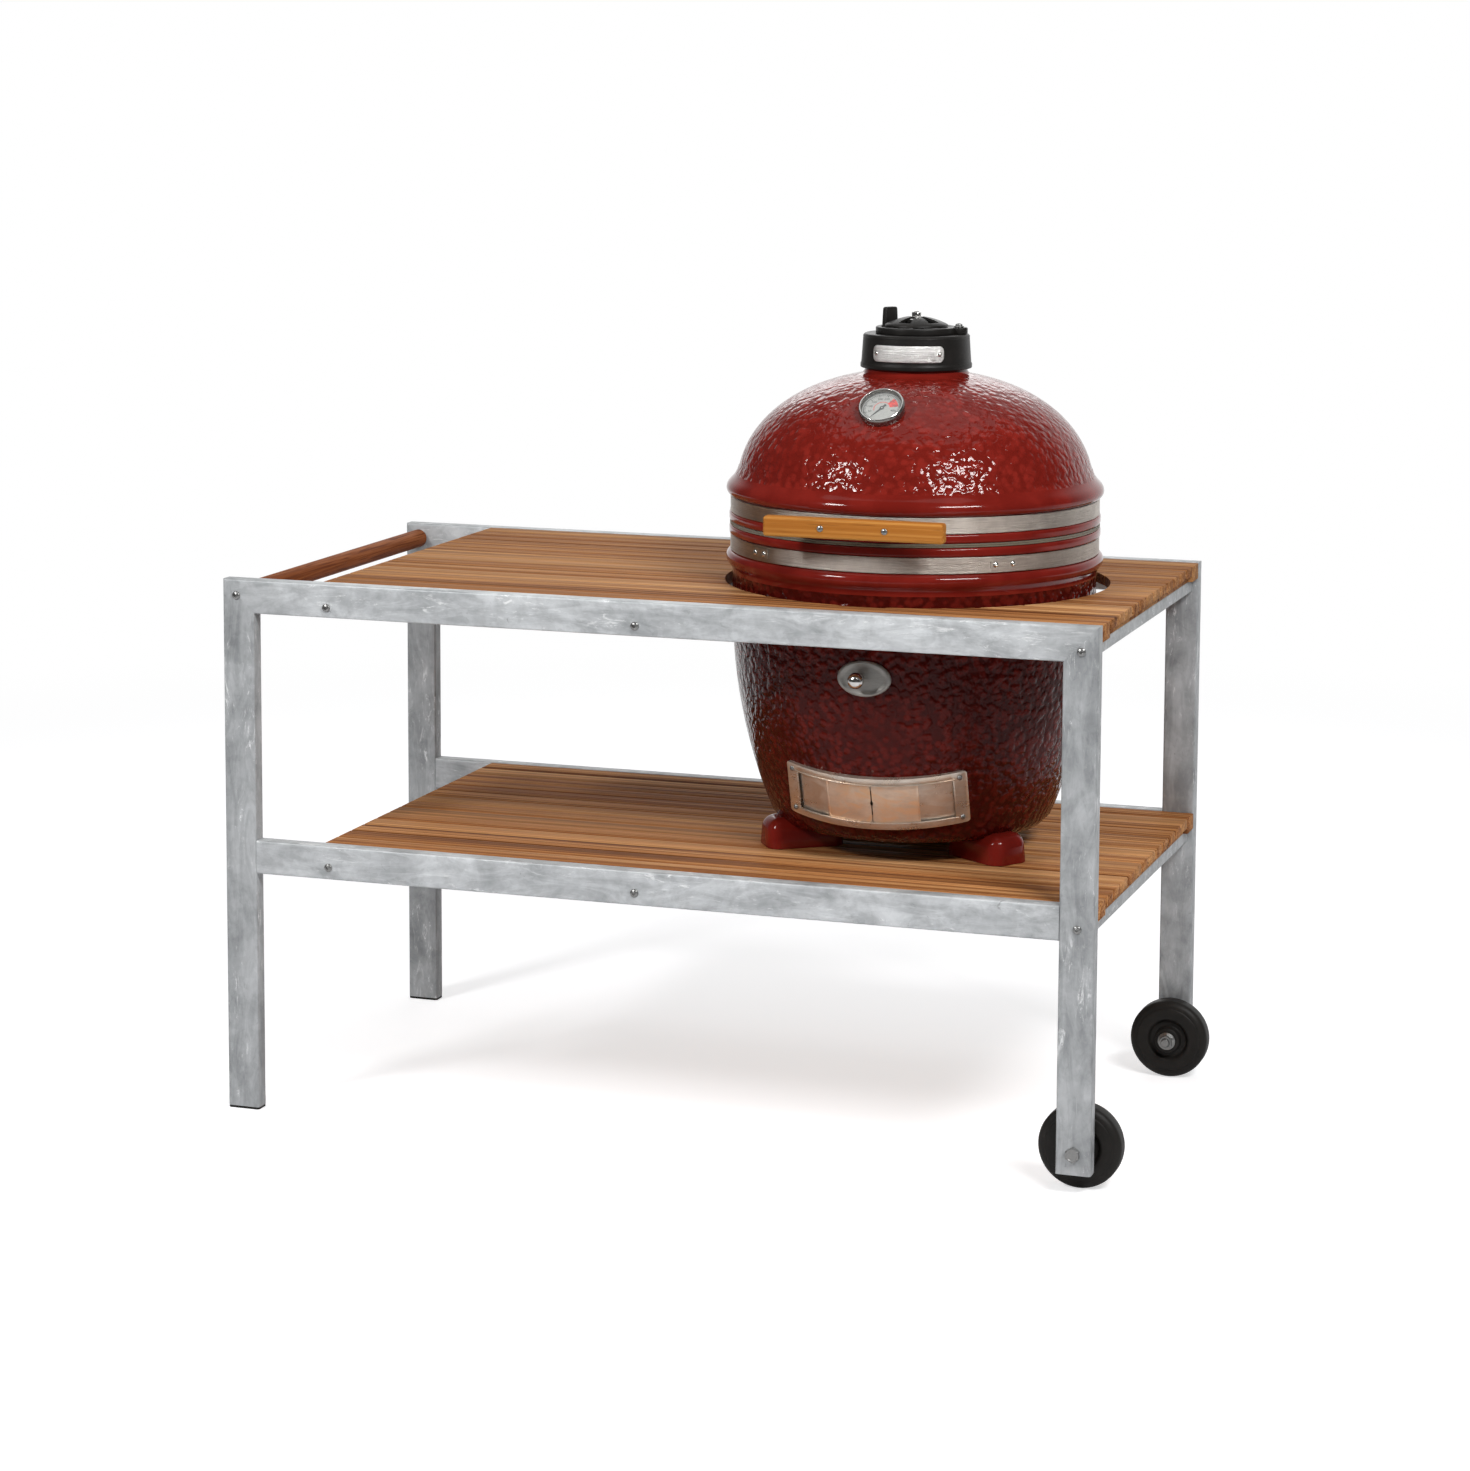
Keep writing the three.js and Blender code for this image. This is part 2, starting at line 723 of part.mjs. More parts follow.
function lidOutside() {
  const shoulder = domeRadiusAt(domeShoulder, 0);
  const neckFoot = domeHeightAt(neckRadius + lidWall / 2, 0);
  return [
    [lipRadius - rimRound, lidRim],
    [lipRadius, lidRim + rimRound],
    [lipRadius, lidLipTop - rimRound],
    [bandSeatRadius, lidLipTop],
    ...flare(lidFlareMiddle).slice(0, -1),
    ...domeCurve(0, shoulder, neckRadius + lidWall / 2, domeSteps).slice(0, -1),
    [neckRadius + rimRound, neckFoot + rimRound],
    [neckRadius, neckFoot + lidWall / 3],
    [neckRadius, neckTop],
  ];
}

function lidInside() {
  const wall = domeCurve(lidWall, rimInner - baseWall / 3, flueRadius, insideSteps);
  return [[flueRadius, neckTop], ...wall.reverse(), [rimInner, lidRim]];
}

const kamado = new THREE.Group();
kamado.position.set(leftEdge + kamadoX, kamadoBack, kamadoFloor);
group.add(kamado);

const thermometerSeat = new THREE.Matrix4().makeRotationX(radians(thermometerTilt));
const thermometerHeight = domeHeightAt(thermometerRadius, 0) + thermometerSink;
thermometerSeat.setPosition(thermometerShift, -thermometerRadius, thermometerHeight);

const draftSeat = new THREE.Matrix4().makeRotationX(radians(draftTilt));
draftSeat.multiply(new THREE.Matrix4().makeRotationZ(radians(draftTurn)));
const draftAxisY = draftRadius * Math.cos(radians(draftTilt)) - draftFront;
draftSeat.setPosition(0, draftAxisY, draftCentre + draftRadius * Math.sin(radians(draftTilt)));

function feederBore(from, to) {
  return rodAlongY(plugDiameter / 2 + fit, from, to, feederShift, feederHeight, smallSegments);
}

function shells() {
  const [sill, head] = [draftCentre - draftPortHeight / 2, draftCentre + draftPortHeight / 2];
  const port = shared(
    ring(bodyCornerRadius / 2, bodyRadius, sill, head, kamadoSegments),
    sector(-draftPortAngle, draftPortAngle, bodyRadius, 0, baseRim),
  );
  const feederHole = feederBore(-bodyRadius - overrun, -bodyCornerRadius / 2);
  const base = turned([...baseOutside(), ...baseInside()], kamadoSegments);
  place(kamado, "base_shell", cut(base, port, feederHole), glaze);
  const profile = [...lidOutside(), ...lidInside()];
  const lid = turned([...profile, profile[0]], kamadoSegments);
  const stemHole = rod(stemRadius + fit, -stemLength, stemLength, boltSegments).applyMatrix4(thermometerSeat);
  place(kamado, "lid_dome", cut(lid, stemHole), glaze);
}
shells();

function bandsAndGaskets() {
  const inner = bandSeatRadius + fit;
  const baseBand = ring(inner, bandRadius, baseBandBottom, baseBandTop, kamadoSegments);
  place(kamado, "base_band", baseBand, stainless);
  const lidBand = ring(inner, bandRadius, lidBandBottom, lidBandTop, kamadoSegments);
  place(kamado, "lid_band", lidBand, stainless);
  const gasketInner = rimInner + gasketInset;
  const gasketOuter = lipRadius - gasketInset;
  const seam = ring(gasketInner, gasketOuter, 0, gasketThickness, kamadoSegments);
  place(kamado, "base_gasket", seam, felt, 0, 0, baseRim + fit);
  place(kamado, "lid_gasket", seam.clone(), felt, 0, 0, baseRim + gasketThickness + 2 * fit);
}
bandsAndGaskets();

const lidBandMiddle = lidBandBottom + bandHeight / 2;
const baseBandMiddle = baseBandBottom + bandHeight / 2;

function handle() {
  const outline = roundedOutline(handleLength, handleHeight, handleRound, 2);
  const bar = prism(outline, handleDepth).rotateX(Math.PI / 2);
  const middle = lidBandMiddle - handleDrop;
  place(kamado, "lid_handle", bar, bamboo, 0, -handleReach + handleDepth, middle);
  const depth = handleReach - handleDepth - fit;
  const inner = bandRadius + fit;
  const footTop = lidBandMiddle + bracketHeight / 2;
  const band = rod(inner, lidBandBottom, lidBandTop, kamadoSegments);
  const lip = rod(lipRadius + fit, lidRim, lidBandBottom, kamadoSegments);
  const sheet = ring(inner, inner + bracketSheet, lidBandBottom, footTop, kamadoSegments);
  for (const [word, side] of [["left", -1], ["right", 1]]) {
    const x = (side * bracketSpacing) / 2;
    const outer = block(bracketWidth, depth, bracketHeight, x, -depth / 2, middle);
    const channelWidth = bracketWidth - 2 * bracketSheet;
    const channelY = -(depth - bracketSheet) / 2;
    const channel = block(channelWidth, depth - bracketSheet, bracketHeight + overrun, x, channelY, middle);
    const front = block(bracketWidth, bodyRadius, 2 * bandHeight, x, -bodyRadius, lidBandMiddle);
    const foot = shared(sheet, front);
    place(kamado, `${word}_handle_bracket`, joined(cut(outer, channel, band, lip), foot), stainless);
  }
}
handle();

// The hinge: base cheeks and a ledge, lid arms with tabs, a pin and two torsion springs
const springRadius = springMeanDiameter / 2;
const armSpacing = cheekSpacing - 2 * hingeSheet - 2 * fit;
const armDirection = new THREE.Vector2(bandRadius - hingeBack, lidBandMiddle - hingeHeight).normalize();
const armSide = new THREE.Vector2(-armDirection.y, armDirection.x);

function saddle(bottom, top, middle) {
  const wrapped = ring(bandRadius + fit, bandRadius + fit + hingeSheet, bottom, top, kamadoSegments);
  return shared(wrapped, block(saddleWidth, bodyRadius, 2 * (top - bottom), 0, bodyRadius, middle));
}

function pinHole() {
  const across = rod(pinDiameter / 2 + fit, -saddleWidth, saddleWidth, boltSegments).rotateY(Math.PI / 2);
  return across.translate(0, hingeBack, hingeHeight);
}

function baseHinge() {
  const root = Math.sqrt((bandRadius + fit) ** 2 - (saddleWidth / 2) ** 2);
  const outline = [
    [root, baseBandBottom],
    [hingeBack, hingeHeight - cheekRound],
    ...arc(hingeBack, hingeHeight, cheekRound, cheekRound, -cheekSweep, cheekSweep, 3),
    [hingeBack, hingeHeight + cheekRound],
    [root, baseBandTop],
  ];
  const inside = rod(bandRadius + fit, 0, baseBandTop + bandHeight, kamadoSegments);
  const cheekX = (cheekSpacing - hingeSheet) / 2;
  const cheeks = [-1, 1].map((side) => sidePrism(outline, hingeSheet, side * cheekX));
  const ledgeTop = hingeHeight + springRadius - springWire / 2 - fit;
  const ledgeFrom = bandRadius + fit + hingeSheet / 2;
  const ledgeY = ledgeFrom + ledgeReach / 2;
  const ledge = block(ledgeWidth, ledgeReach, hingeSheet, 0, ledgeY, ledgeTop - hingeSheet / 2);
  const riser = saddle(baseBandBottom, ledgeTop, baseBandMiddle);
  const narrow = shared(riser, block(ledgeWidth, 2 * hingeBack, 2 * baseRim, 0, hingeBack, 0));
  const strap = saddle(baseBandBottom, baseBandTop, baseBandMiddle);
  const lip = rod(lipRadius + fit, baseBandTop, baseRim, kamadoSegments);
  const bracket = cut(joined(strap, narrow, ...cheeks, ledge), pinHole(), inside, lip);
  place(kamado, "base_hinge_bracket", bracket, stainless);
}

function lidHinge() {
  const root = Math.sqrt((bandRadius + fit) ** 2 - (saddleWidth / 2) ** 2);
  const across = armSide.clone().multiplyScalar(cheekRound);
  const outline = [
    [root, lidBandBottom],
    [bandRadius + hingeSheet, lidBandBottom],
    [hingeBack + across.x, hingeHeight + across.y],
    ...arc(hingeBack, hingeHeight, cheekRound, cheekRound, -90, 45, 4),
    [bandRadius + hingeSheet, lidBandTop],
    [root, lidBandTop],
  ];
  const inside = rod(bandRadius + fit, 0, lidBandTop + bandHeight, kamadoSegments);
  const armX = (armSpacing - hingeSheet) / 2;
  const arms = [-1, 1].map((side) => sidePrism(outline, hingeSheet, side * armX));
  const tabs = [-1, 1].map((side) => {
    const reach = springLegLength - springRadius;
    const long = block(springInner, hingeSheet, reach, 0, 0, springRadius + springWire + reach / 2);
    const lift = springRadius - springWire / 2 - fit - hingeSheet / 2;
    const tilt = Math.atan2(-armDirection.x, armDirection.y);
    const tab = long.translate(0, -lift, 0).rotateX(tilt).translate(0, hingeBack, hingeHeight);
    return tab.translate((side * (armSpacing - springInner)) / 2, 0, 0);
  });
  const strap = saddle(lidBandBottom, lidBandTop, lidBandMiddle);
  place(kamado, "lid_hinge_bracket", cut(joined(strap, ...arms, ...tabs), pinHole(), inside), stainless);
}

function hingePin() {
  const half = cheekSpacing / 2 + fit;
  const shaft = rod(pinDiameter / 2, -half - weld, half + weld, boltSegments);
  const heads = [-1, 1].map((side) => {
    const middle = side * (half + pinHeadHeight / 2);
    return rod(pinHeadDiameter / 2, middle - pinHeadHeight / 2, middle + pinHeadHeight / 2, boltSegments);
  });
  const pin = joined(shaft, ...heads).rotateY(Math.PI / 2);
  place(kamado, "hinge_pin", pin, boltSteel, 0, hingeBack, hingeHeight);
}
baseHinge();
lidHinge();
hingePin();

// A tube of flat-sided rings along a path, closed by a fan at each end
function sweep(path, radius, sides) {
  const positions = [];
  const corners = [];
  let across = new THREE.Vector3(1, 0, 0);
  path.forEach((point, i) => {
    const before = path[Math.max(i - 1, 0)];
    const after = path[Math.min(i + 1, path.length - 1)];
    const along = after.clone().sub(before).normalize();
    across = across.addScaledVector(along, -across.dot(along)).normalize();
    const up = along.clone().cross(across);
    for (let k = 0; k < sides; k++) {
      const angle = (2 * Math.PI * k) / sides;
      const corner = point.clone().addScaledVector(across, radius * Math.cos(angle));
      corner.addScaledVector(up, radius * Math.sin(angle));
      positions.push(corner.x, corner.y, corner.z);
    }
    across = across.clone();
  });
  const last = (path.length - 1) * sides;
  for (let i = 0; i < path.length - 1; i++) {
    for (let k = 0; k < sides; k++) {
      const [a, b] = [i * sides + k, i * sides + ((k + 1) % sides)];
      corners.push(a, b, b + sides, a, b + sides, a + sides);
    }
  }
  for (let k = 1; k < sides - 1; k++) corners.push(0, k + 1, k, last, last + k, last + k + 1);
  const geometry = new THREE.BufferGeometry();
  geometry.setAttribute("position", new THREE.Float32BufferAttribute(positions, 3));
  geometry.setIndex(corners);
  return geometry;
}

function springPath(side) {
  const start = Math.PI / 2;
  const armAngle = Math.atan2(armDirection.y, armDirection.x);
  const end = armAngle + Math.PI / 2 - 2 * Math.PI * (springTurns + 1);
  const steps = Math.round(((start - end) / (2 * Math.PI)) * springSteps);
  const firstY = hingeBack - springLegLength - springRadius;
  const path = [new THREE.Vector3(side * springInner, firstY, hingeHeight + springRadius)];
  for (let i = 0; i <= steps; i++) {
    const angle = start + ((end - start) * i) / steps;
    const x = springInner + (springPitch * (start - angle)) / (2 * Math.PI);
    const y = hingeBack + springRadius * Math.cos(angle);
    path.push(new THREE.Vector3(side * x, y, hingeHeight + springRadius * Math.sin(angle)));
  }
  const tail = path[path.length - 1].clone();
  tail.y += armDirection.x * springLegLength;
  tail.z += armDirection.y * springLegLength;
  path.push(tail);
  return path;
}

// Least gap between two stretches of the wire that are more than half a turn apart
function leastGap(path) {
  let least = Infinity;
  const skip = springSteps / 2;
  for (let i = 0; i < path.length; i++) {
    for (let k = i + skip; k < path.length; k++) least = Math.min(least, path[i].distanceTo(path[k]));
  }
  return least - springWire;
}

for (const [word, side] of [["left", -1], ["right", 1]]) {
  const path = springPath(side);
  console.log(`${word} hinge spring, least gap to itself ${leastGap(path).toFixed(2)} mm`);
  place(kamado, `${word}_hinge_spring`, sweep(path, springWire / 2, springSides), springSteel);
}

// The vent, turned a little about the kamado's axis
const vent = new THREE.Group();
vent.position.set(0, 0, ventTop);
vent.rotation.z = radians(ventTurn);
kamado.add(vent);

function petal(index, bottom, top, turn) {
  const pitch = 360 / petalCount;
  const half = (pitch * petalShare) / 2;
  const middle = index * pitch + turn;
  const points = [
    ...arc(0, 0, petalOuter, petalOuter, middle - half, middle + half, 3),
    ...arc(0, 0, petalInner, petalInner, middle + half, middle - half, 1),
  ];
  return prism(points, top - bottom).translate(0, 0, bottom);
}

function pivotBore(from) {
  const bore = rod(pivotScrewRadius + fit, from, swingThickness + overrun, boltSegments);
  return bore.translate(swingPivotRadius, 0, 0);
}

function ventHousing() {
  const depth = neckTop - ventTop + fit;
  const inner = neckRadius + neckGap;
  const profile = [
    [inner, -ventHeight],
    [ventBottomRadius - ventEdge, -ventHeight],
    [ventBottomRadius, -ventHeight + ventEdge],
    [ventTopRadius, -ventEdge],
    [ventTopRadius - ventEdge, 0],
    [ventLipRadius, 0],
    [ventLipRadius, depth],
    [inner, depth],
    [inner, -ventHeight],
  ];
  place(vent, "vent_housing", cut(turned(profile, ventSegments), pivotBore(-pivotScrewDepth)), castIron);
}

function swingPlate() {
  const disc = rod(swingRadius, fit, fit + swingThickness, ventSegments);
  const boss = rod(swingBossRadius, fit, fit + swingThickness, smallSegments);
  boss.translate(swingPivotRadius, 0, 0);
  const petals = [];
  for (let i = 0; i < petalCount; i++) petals.push(petal(i, -overrun, swingThickness + overrun, 0));
  const studHole = rod(damperStud + fit, -overrun, swingThickness + overrun, boltSegments);
  const foot = tabWidth / 2;
  const head = foot * tabTopShare;
  const outline = [[-foot, 0], [foot, 0], [head, tabHeight], [-head, tabHeight]];
  const tab = prism(outline, tabThickness).rotateX(Math.PI / 2).translate(0, tabThickness / 2, 0);
  const upright = tab.rotateZ(Math.PI / 2).translate(tabRadius, 0, fit + swingThickness - weld);
  upright.rotateZ(radians(tabTurn));
  const plate = cut(joined(disc, boss), ...petals, pivotBore(-overrun), studHole);
  place(vent, "vent_swing_plate", joined(plate, upright), castIron);
  const screwTop = fit + swingThickness + fit;
  const screw = [
    [0, -pivotScrewDepth + fit],
    [pivotScrewRadius, -pivotScrewDepth + fit],
    [pivotScrewRadius, screwTop],
    [pivotHeadRadius, screwTop],
    [pivotHeadRadius, screwTop + pivotHeadHeight / 2],
    [pivotHeadRadius / 2, screwTop + pivotHeadHeight],
    [0, screwTop + pivotHeadHeight],
  ];
  place(vent, "vent_pivot_screw", turned(screw, boltSegments), boltSteel, swingPivotRadius, 0, 0);
}

function damper() {
  const bottom = 2 * fit + swingThickness;
  const dome = (inset, radius) => {
    const points = [];
    for (let i = 0; i <= 3; i++) {
      const r = radius * (1 - i / 3);
      points.push([r, bottom + damperSheet - inset + damperRise * (1 - (r / radius) ** 2)]);
    }
    return points;
  };
  const cover = turned([[0, bottom], [damperRadius, bottom], ...dome(0, damperRadius)], smallSegments);
  const inner = damperRadius - damperSheet;
  const hollow = turned([[0, 0], [inner, 0], ...dome(damperSheet, inner)], smallSegments);
  const petals = [];
  const turn = 180 / petalCount;
  const above = bottom + damperRise + damperSheet + overrun;
  for (let i = 0; i < petalCount; i++) petals.push(petal(i, bottom - overrun, above, turn));
  const stud = rod(damperStud, fit, bottom + damperSheet + damperRise, boltSegments);
  const nutBottom = bottom + damperRise;
  const nut = rod(damperNutRadius, nutBottom, nutBottom + damperSheet + damperNutHeight, hexSides);
  place(vent, "vent_damper", joined(cut(cover, hollow, ...petals), stud, nut), castIron);
}

function namePlate() {
  const slope = (ventBottomRadius - ventTopRadius) / ventHeight;
  const radiusAt = (z) => ventTopRadius - z * slope + fit;
  const [top, bottom] = [-plateDrop + plateHeight / 2, -plateDrop - plateHeight / 2];
  const [above, below] = [top + overrun, bottom - overrun];
  const wrapped = turned([
    [radiusAt(below), below],
    [radiusAt(below) + plateThickness, below],
    [radiusAt(above) + plateThickness, above],
    [radiusAt(above), above],
    [radiusAt(below), below],
  ], ventSegments);
  const outline = prism(roundedOutline(plateWidth, plateHeight, plateCorner, 3), 2 * ventBottomRadius);
  const front = outline.rotateX(Math.PI / 2).translate(0, 0, -plateDrop);
  place(vent, "name_plate", shared(wrapped, front), stainless);
}
ventHousing();
swingPlate();
damper();
namePlate();

function thermometer() {
  const seat = new THREE.Group();
  seat.applyMatrix4(thermometerSeat);
  kamado.add(seat);
  const back = thermometerSeat.clone().invert();
  const dialSeat = caseFloor;
  const profile = [
    [0, -stemLength],
    [stemRadius, -stemLength],
    [stemRadius, -lidWall / 2],
    [caseRadius - caseBezel, -lidWall / 2],
    [caseRadius, 0],
    [caseRadius, caseDepth - caseBezel],
    [caseRadius - caseBezel, caseDepth],
    [dialRadius + fit, caseDepth],
    [dialRadius + fit, dialSeat],
    [0, dialSeat],
  ];
  const outside = grown(lidOutside(), fit);
  const dome = turned([[0, lidRim], ...outside, [0, neckTop]], kamadoSegments).applyMatrix4(back);
  const body = turned(profile, smallSegments);
  const stem = rod(stemRadius, -stemLength, dialSeat / 2, boltSegments);
  place(seat, "thermometer_case", joined(cut(body, dome), stem), stainless);
  const dialTop = dialSeat + fit + dialThickness;
  const spindleTop = dialTop + fit + needleThickness;
  const spindle = rod(spindleRadius, dialTop - weld / 2, spindleTop, boltSegments);
  const dial = rod(dialRadius, dialSeat + fit, dialTop, smallSegments);
  place(seat, "thermometer_dial", joined(dial, spindle), dialFace);
  const half = needleWidth / 2;
  const bar = prism([[-half, -needleTail], [half, -needleTail], [0, needleLength]], needleThickness);
  const hub = rod(needleHubRadius, 0, needleThickness, boltSegments);
  const eye = rod(spindleRadius + fit, -overrun, overrun, boltSegments);
  const pointer = cut(joined(bar, hub), eye);
  const needle = place(seat, "thermometer_needle", pointer, needleRed, 0, 0, dialTop + fit);
  needle.rotation.z = radians(-needleTurn);
  const glassBottom = spindleTop + fit;
  const glass = rod(dialRadius, glassBottom, glassBottom + glassThickness, smallSegments);
  place(seat, "thermometer_glass", glass, clearGlass);
}
thermometer();

// Draft door: sheets bent round one axis that leans out with the base's wall
function bentSheet(front, back, height, angle) {
  const wrapped = ring(draftRadius - back, draftRadius - front, -height / 2, height / 2, draftSegments);
  return shared(wrapped, sector(-angle, angle, draftRadius, -height, height));
}

function draftDoors() {
  const seat = new THREE.Group();
  seat.applyMatrix4(draftSeat);
  kamado.add(seat);
  const doorFront = draftSheet + draftGap;
  const doorBack = doorFront + draftSheet;
  const slotHeight = (draftPlateHeight + draftWindowHeight) / 2;
  const body = bentSheet(0, draftReturn, draftPlateHeight, draftPlateAngle);
  const window = bentSheet(-overrun, doorFront, draftWindowHeight, draftWindowAngle);
  const slot = bentSheet(draftSheet, doorBack + draftGap, slotHeight, draftPlateAngle - draftSheet);
  const port = bentSheet(doorBack, draftReturn + overrun, draftPortHeight, draftPortAngle);
  const outside = turned([...grown(baseOutside(), fit), [0, baseRim]], kamadoSegments);
  const wall = outside.applyMatrix4(draftSeat.clone().invert());
  place(seat, "draft_door_frame", cut(body, window, slot, port, wall), stainless);
  const tip = draftPullHeight / 2;
  const notch = [[-draftPullDepth, 0], [0, -tip], [draftPullDepth, 0], [0, tip]];
  const pull = prism(notch, draftRadius).rotateX(Math.PI / 2);
  const sheet = bentSheet(doorFront, doorBack, slotHeight - 2 * draftGap, draftDoorAngle);
  for (const [word, side] of [["left", -1], ["right", 1]]) {
    const [from, to] = side < 0 ? [-draftPlateAngle, -draftDoorSeam] : [draftDoorSeam, draftPlateAngle];
    const half = sector(from, to, draftRadius, -draftPlateHeight, draftPlateHeight);
    place(seat, `${word}_draft_door`, cut(shared(sheet, half), pull), stainless);
  }
}
draftDoors();

function feeder() {
  const outline = arc(0, 0, coverWidth / 2, coverHeight / 2, 0, 360 - 360 / smallSegments, smallSegments - 1);
  const front = prism(outline, bodyRadius).rotateX(Math.PI / 2);
  front.translate(feederShift, -coverWidth, feederHeight);
  const seat = bodyRadius + fit;
  const [bottom, top] = [feederHeight - coverHeight, feederHeight + coverHeight];
  const wrapped = shared(ring(seat, seat + coverThickness, bottom, top, draftSegments), front);
  const plugFront = -seat - coverThickness / 4;
  const plugBack = plugFront + plugLength;
  const plug = rodAlongY(plugDiameter / 2, plugFront, plugBack, feederShift, feederHeight, smallSegments);
  place(kamado, "feeder_cover", joined(wrapped, plug), stainless);
  const face = seat + coverThickness + fit;
  const radius = knobDiameter / 2;
  const ball = [
    [0, 0],
    [knobStemRadius, 0],
    [knobStemRadius, knobStand],
    ...arc(0, knobStand + radius, radius, radius, knobWaistAngle, 90, 6),
  ];
  const knob = turned(ball, smallSegments / 2).rotateX(Math.PI / 2);
  place(kamado, "feeder_knob", knob, boltSteel, feederShift + knobShift, -face, feederHeight);
}
feeder();

function feet() {
  const wall = turned([...grown(baseOutside(), fit), [0, baseRim]], kamadoSegments);
  const half = footWidth / 2;
  const across = [
    [-half, 0],
    [half, 0],
    ...arc(half - footRound, footTall - footRound, footRound, footRound, 0, 90, 3),
    ...arc(-half + footRound, footTall - footRound, footRound, footRound, 90, 180, 3),
  ];
  const along = [
    [-footInner, 0],
    [-footInner, footTall],
    ...arc(-footOuter + footRound, footTall - footRound, footRound, footRound, 90, 180, 3),
    [-footOuter, 0],
  ];
  for (const [word, angle] of [["left", -frontFootAngle], ["right", frontFootAngle], ["back", 180]]) {
    const loaf = prism(across, footOuter + overrun).rotateX(Math.PI / 2);
    const side = sidePrism(along, footWidth + overrun);
    const turn = shared(loaf, side).rotateZ(radians(angle));
    place(kamado, `${word}_kamado_foot`, cut(turn, wall), glaze);
  }
}
feet();

function fireParts() {
  const floor = bodyBottom + baseFloor + fit;
  const box = turned([
    [fireThroat, floor],
    [fireBoxBottomRadius, floor],
    [fireBoxTopRadius, fireBoxTop],
    [fireBoxTopRadius - fireWall, fireBoxTop],
    [fireSeat, fireLedge],
    [fireThroat, fireLedge],
    [fireThroat, floor],
  ], wheelSegments);
  const head = draftCentre + draftPortHeight / 2;
  const draft = sector(-draftPortAngle, draftPortAngle, bodyRadius, floor - overrun, head);
  place(kamado, "fire_box", cut(box, draft), firedClay);
  const start = fireBoxTop + fit;
  const ringBody = turned([
    [fireBoxTopRadius - fireWall, start],
    [fireBoxTopRadius, start],
    [fireRingRadius, start + fireRingStep],
    [fireRingRadius, fireRingTop],
    [fireRingRadius - fireWall, fireRingTop],
    [fireRingRadius - fireWall, start + fireRingStep],
    [fireBoxTopRadius - fireWall, start],
  ], wheelSegments);
  place(kamado, "fire_ring", cut(ringBody, feederBore(-bodyRadius, 0)), firedClay);
  const slots = [];
  const pitch = (2 * (charcoalRadius - charcoalMargin)) / charcoalSlots;
  for (let i = 0; i < charcoalSlots; i++) {
    const y = (i - (charcoalSlots - 1) / 2) * pitch;
    const reach = Math.sqrt((charcoalRadius - charcoalMargin) ** 2 - y * y);
    slots.push(block(2 * reach, charcoalSlotWidth, 3 * charcoalThickness, 0, y, 0));
  }
  const disc = rod(charcoalRadius, 0, charcoalThickness, wheelSegments);
  place(kamado, "charcoal_grate", cut(disc, ...slots), castIron, 0, 0, fireLedge + fit);
  const half = grateWire / 2;
  const hoop = ring(grateRadius - grateWire, grateRadius, 0, grateWire, wheelSegments);
  const rods = [];
  const rodCount = Math.floor((grateRadius - rodPitch / 2) / rodPitch);
  for (let i = -rodCount; i <= rodCount; i++) {
    const y = i * rodPitch;
    const reach = Math.sqrt((grateRadius - half) ** 2 - y * y) - grateWire / 4;
    const bar = rod(rodWire / 2, -reach, reach, hexSides).rotateY(Math.PI / 2);
    rods.push(bar.translate(0, y, half));
  }
  place(kamado, "cooking_grate", joined(hoop, ...rods), stainless, 0, 0, fireRingTop + fit);
}
fireParts();

export default group;
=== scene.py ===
import math
import bmesh
import bpy
from mathutils import Matrix, Vector


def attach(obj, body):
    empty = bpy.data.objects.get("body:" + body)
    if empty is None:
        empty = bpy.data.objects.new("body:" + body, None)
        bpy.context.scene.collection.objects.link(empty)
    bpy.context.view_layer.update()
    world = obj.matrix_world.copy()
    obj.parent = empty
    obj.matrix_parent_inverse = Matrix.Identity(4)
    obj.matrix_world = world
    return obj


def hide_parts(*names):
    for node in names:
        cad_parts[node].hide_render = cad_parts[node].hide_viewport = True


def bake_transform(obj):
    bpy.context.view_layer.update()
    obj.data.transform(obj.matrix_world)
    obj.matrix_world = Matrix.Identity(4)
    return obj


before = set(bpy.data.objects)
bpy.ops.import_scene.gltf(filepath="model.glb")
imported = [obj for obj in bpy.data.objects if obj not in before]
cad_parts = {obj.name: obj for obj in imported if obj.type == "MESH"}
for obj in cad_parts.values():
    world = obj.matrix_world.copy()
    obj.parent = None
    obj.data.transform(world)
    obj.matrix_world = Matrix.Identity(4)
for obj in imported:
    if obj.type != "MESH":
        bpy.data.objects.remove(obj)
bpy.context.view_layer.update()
scene = bpy.context.scene
print("frame loaded:", len(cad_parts), "nodes")


# Shader arithmetic: a wire is a socket that Python operators work on
def plug(tree, socket, value):
    if isinstance(value, Wire):
        tree.links.new(value.socket, socket)
    else:
        socket.default_value = value


class Wire:
    def __init__(self, tree, socket):
        self.tree, self.socket = tree, socket

    def maths(self, operation, first, second):
        node = self.tree.nodes.new("ShaderNodeMath")
        node.operation = operation
        plug(self.tree, node.inputs[0], first)
        plug(self.tree, node.inputs[1], second)
        return Wire(self.tree, node.outputs[0])

    def __add__(self, other):
        return self.maths("ADD", self, other)

    def __sub__(self, other):
        return self.maths("SUBTRACT", self, other)

    def __rsub__(self, other):
        return self.maths("SUBTRACT", other, self)

    def __mul__(self, other):
        return self.maths("MULTIPLY", self, other)

    def __truediv__(self, other):
        return self.maths("DIVIDE", self, other)

    __radd__ = __add__
    __rmul__ = __mul__


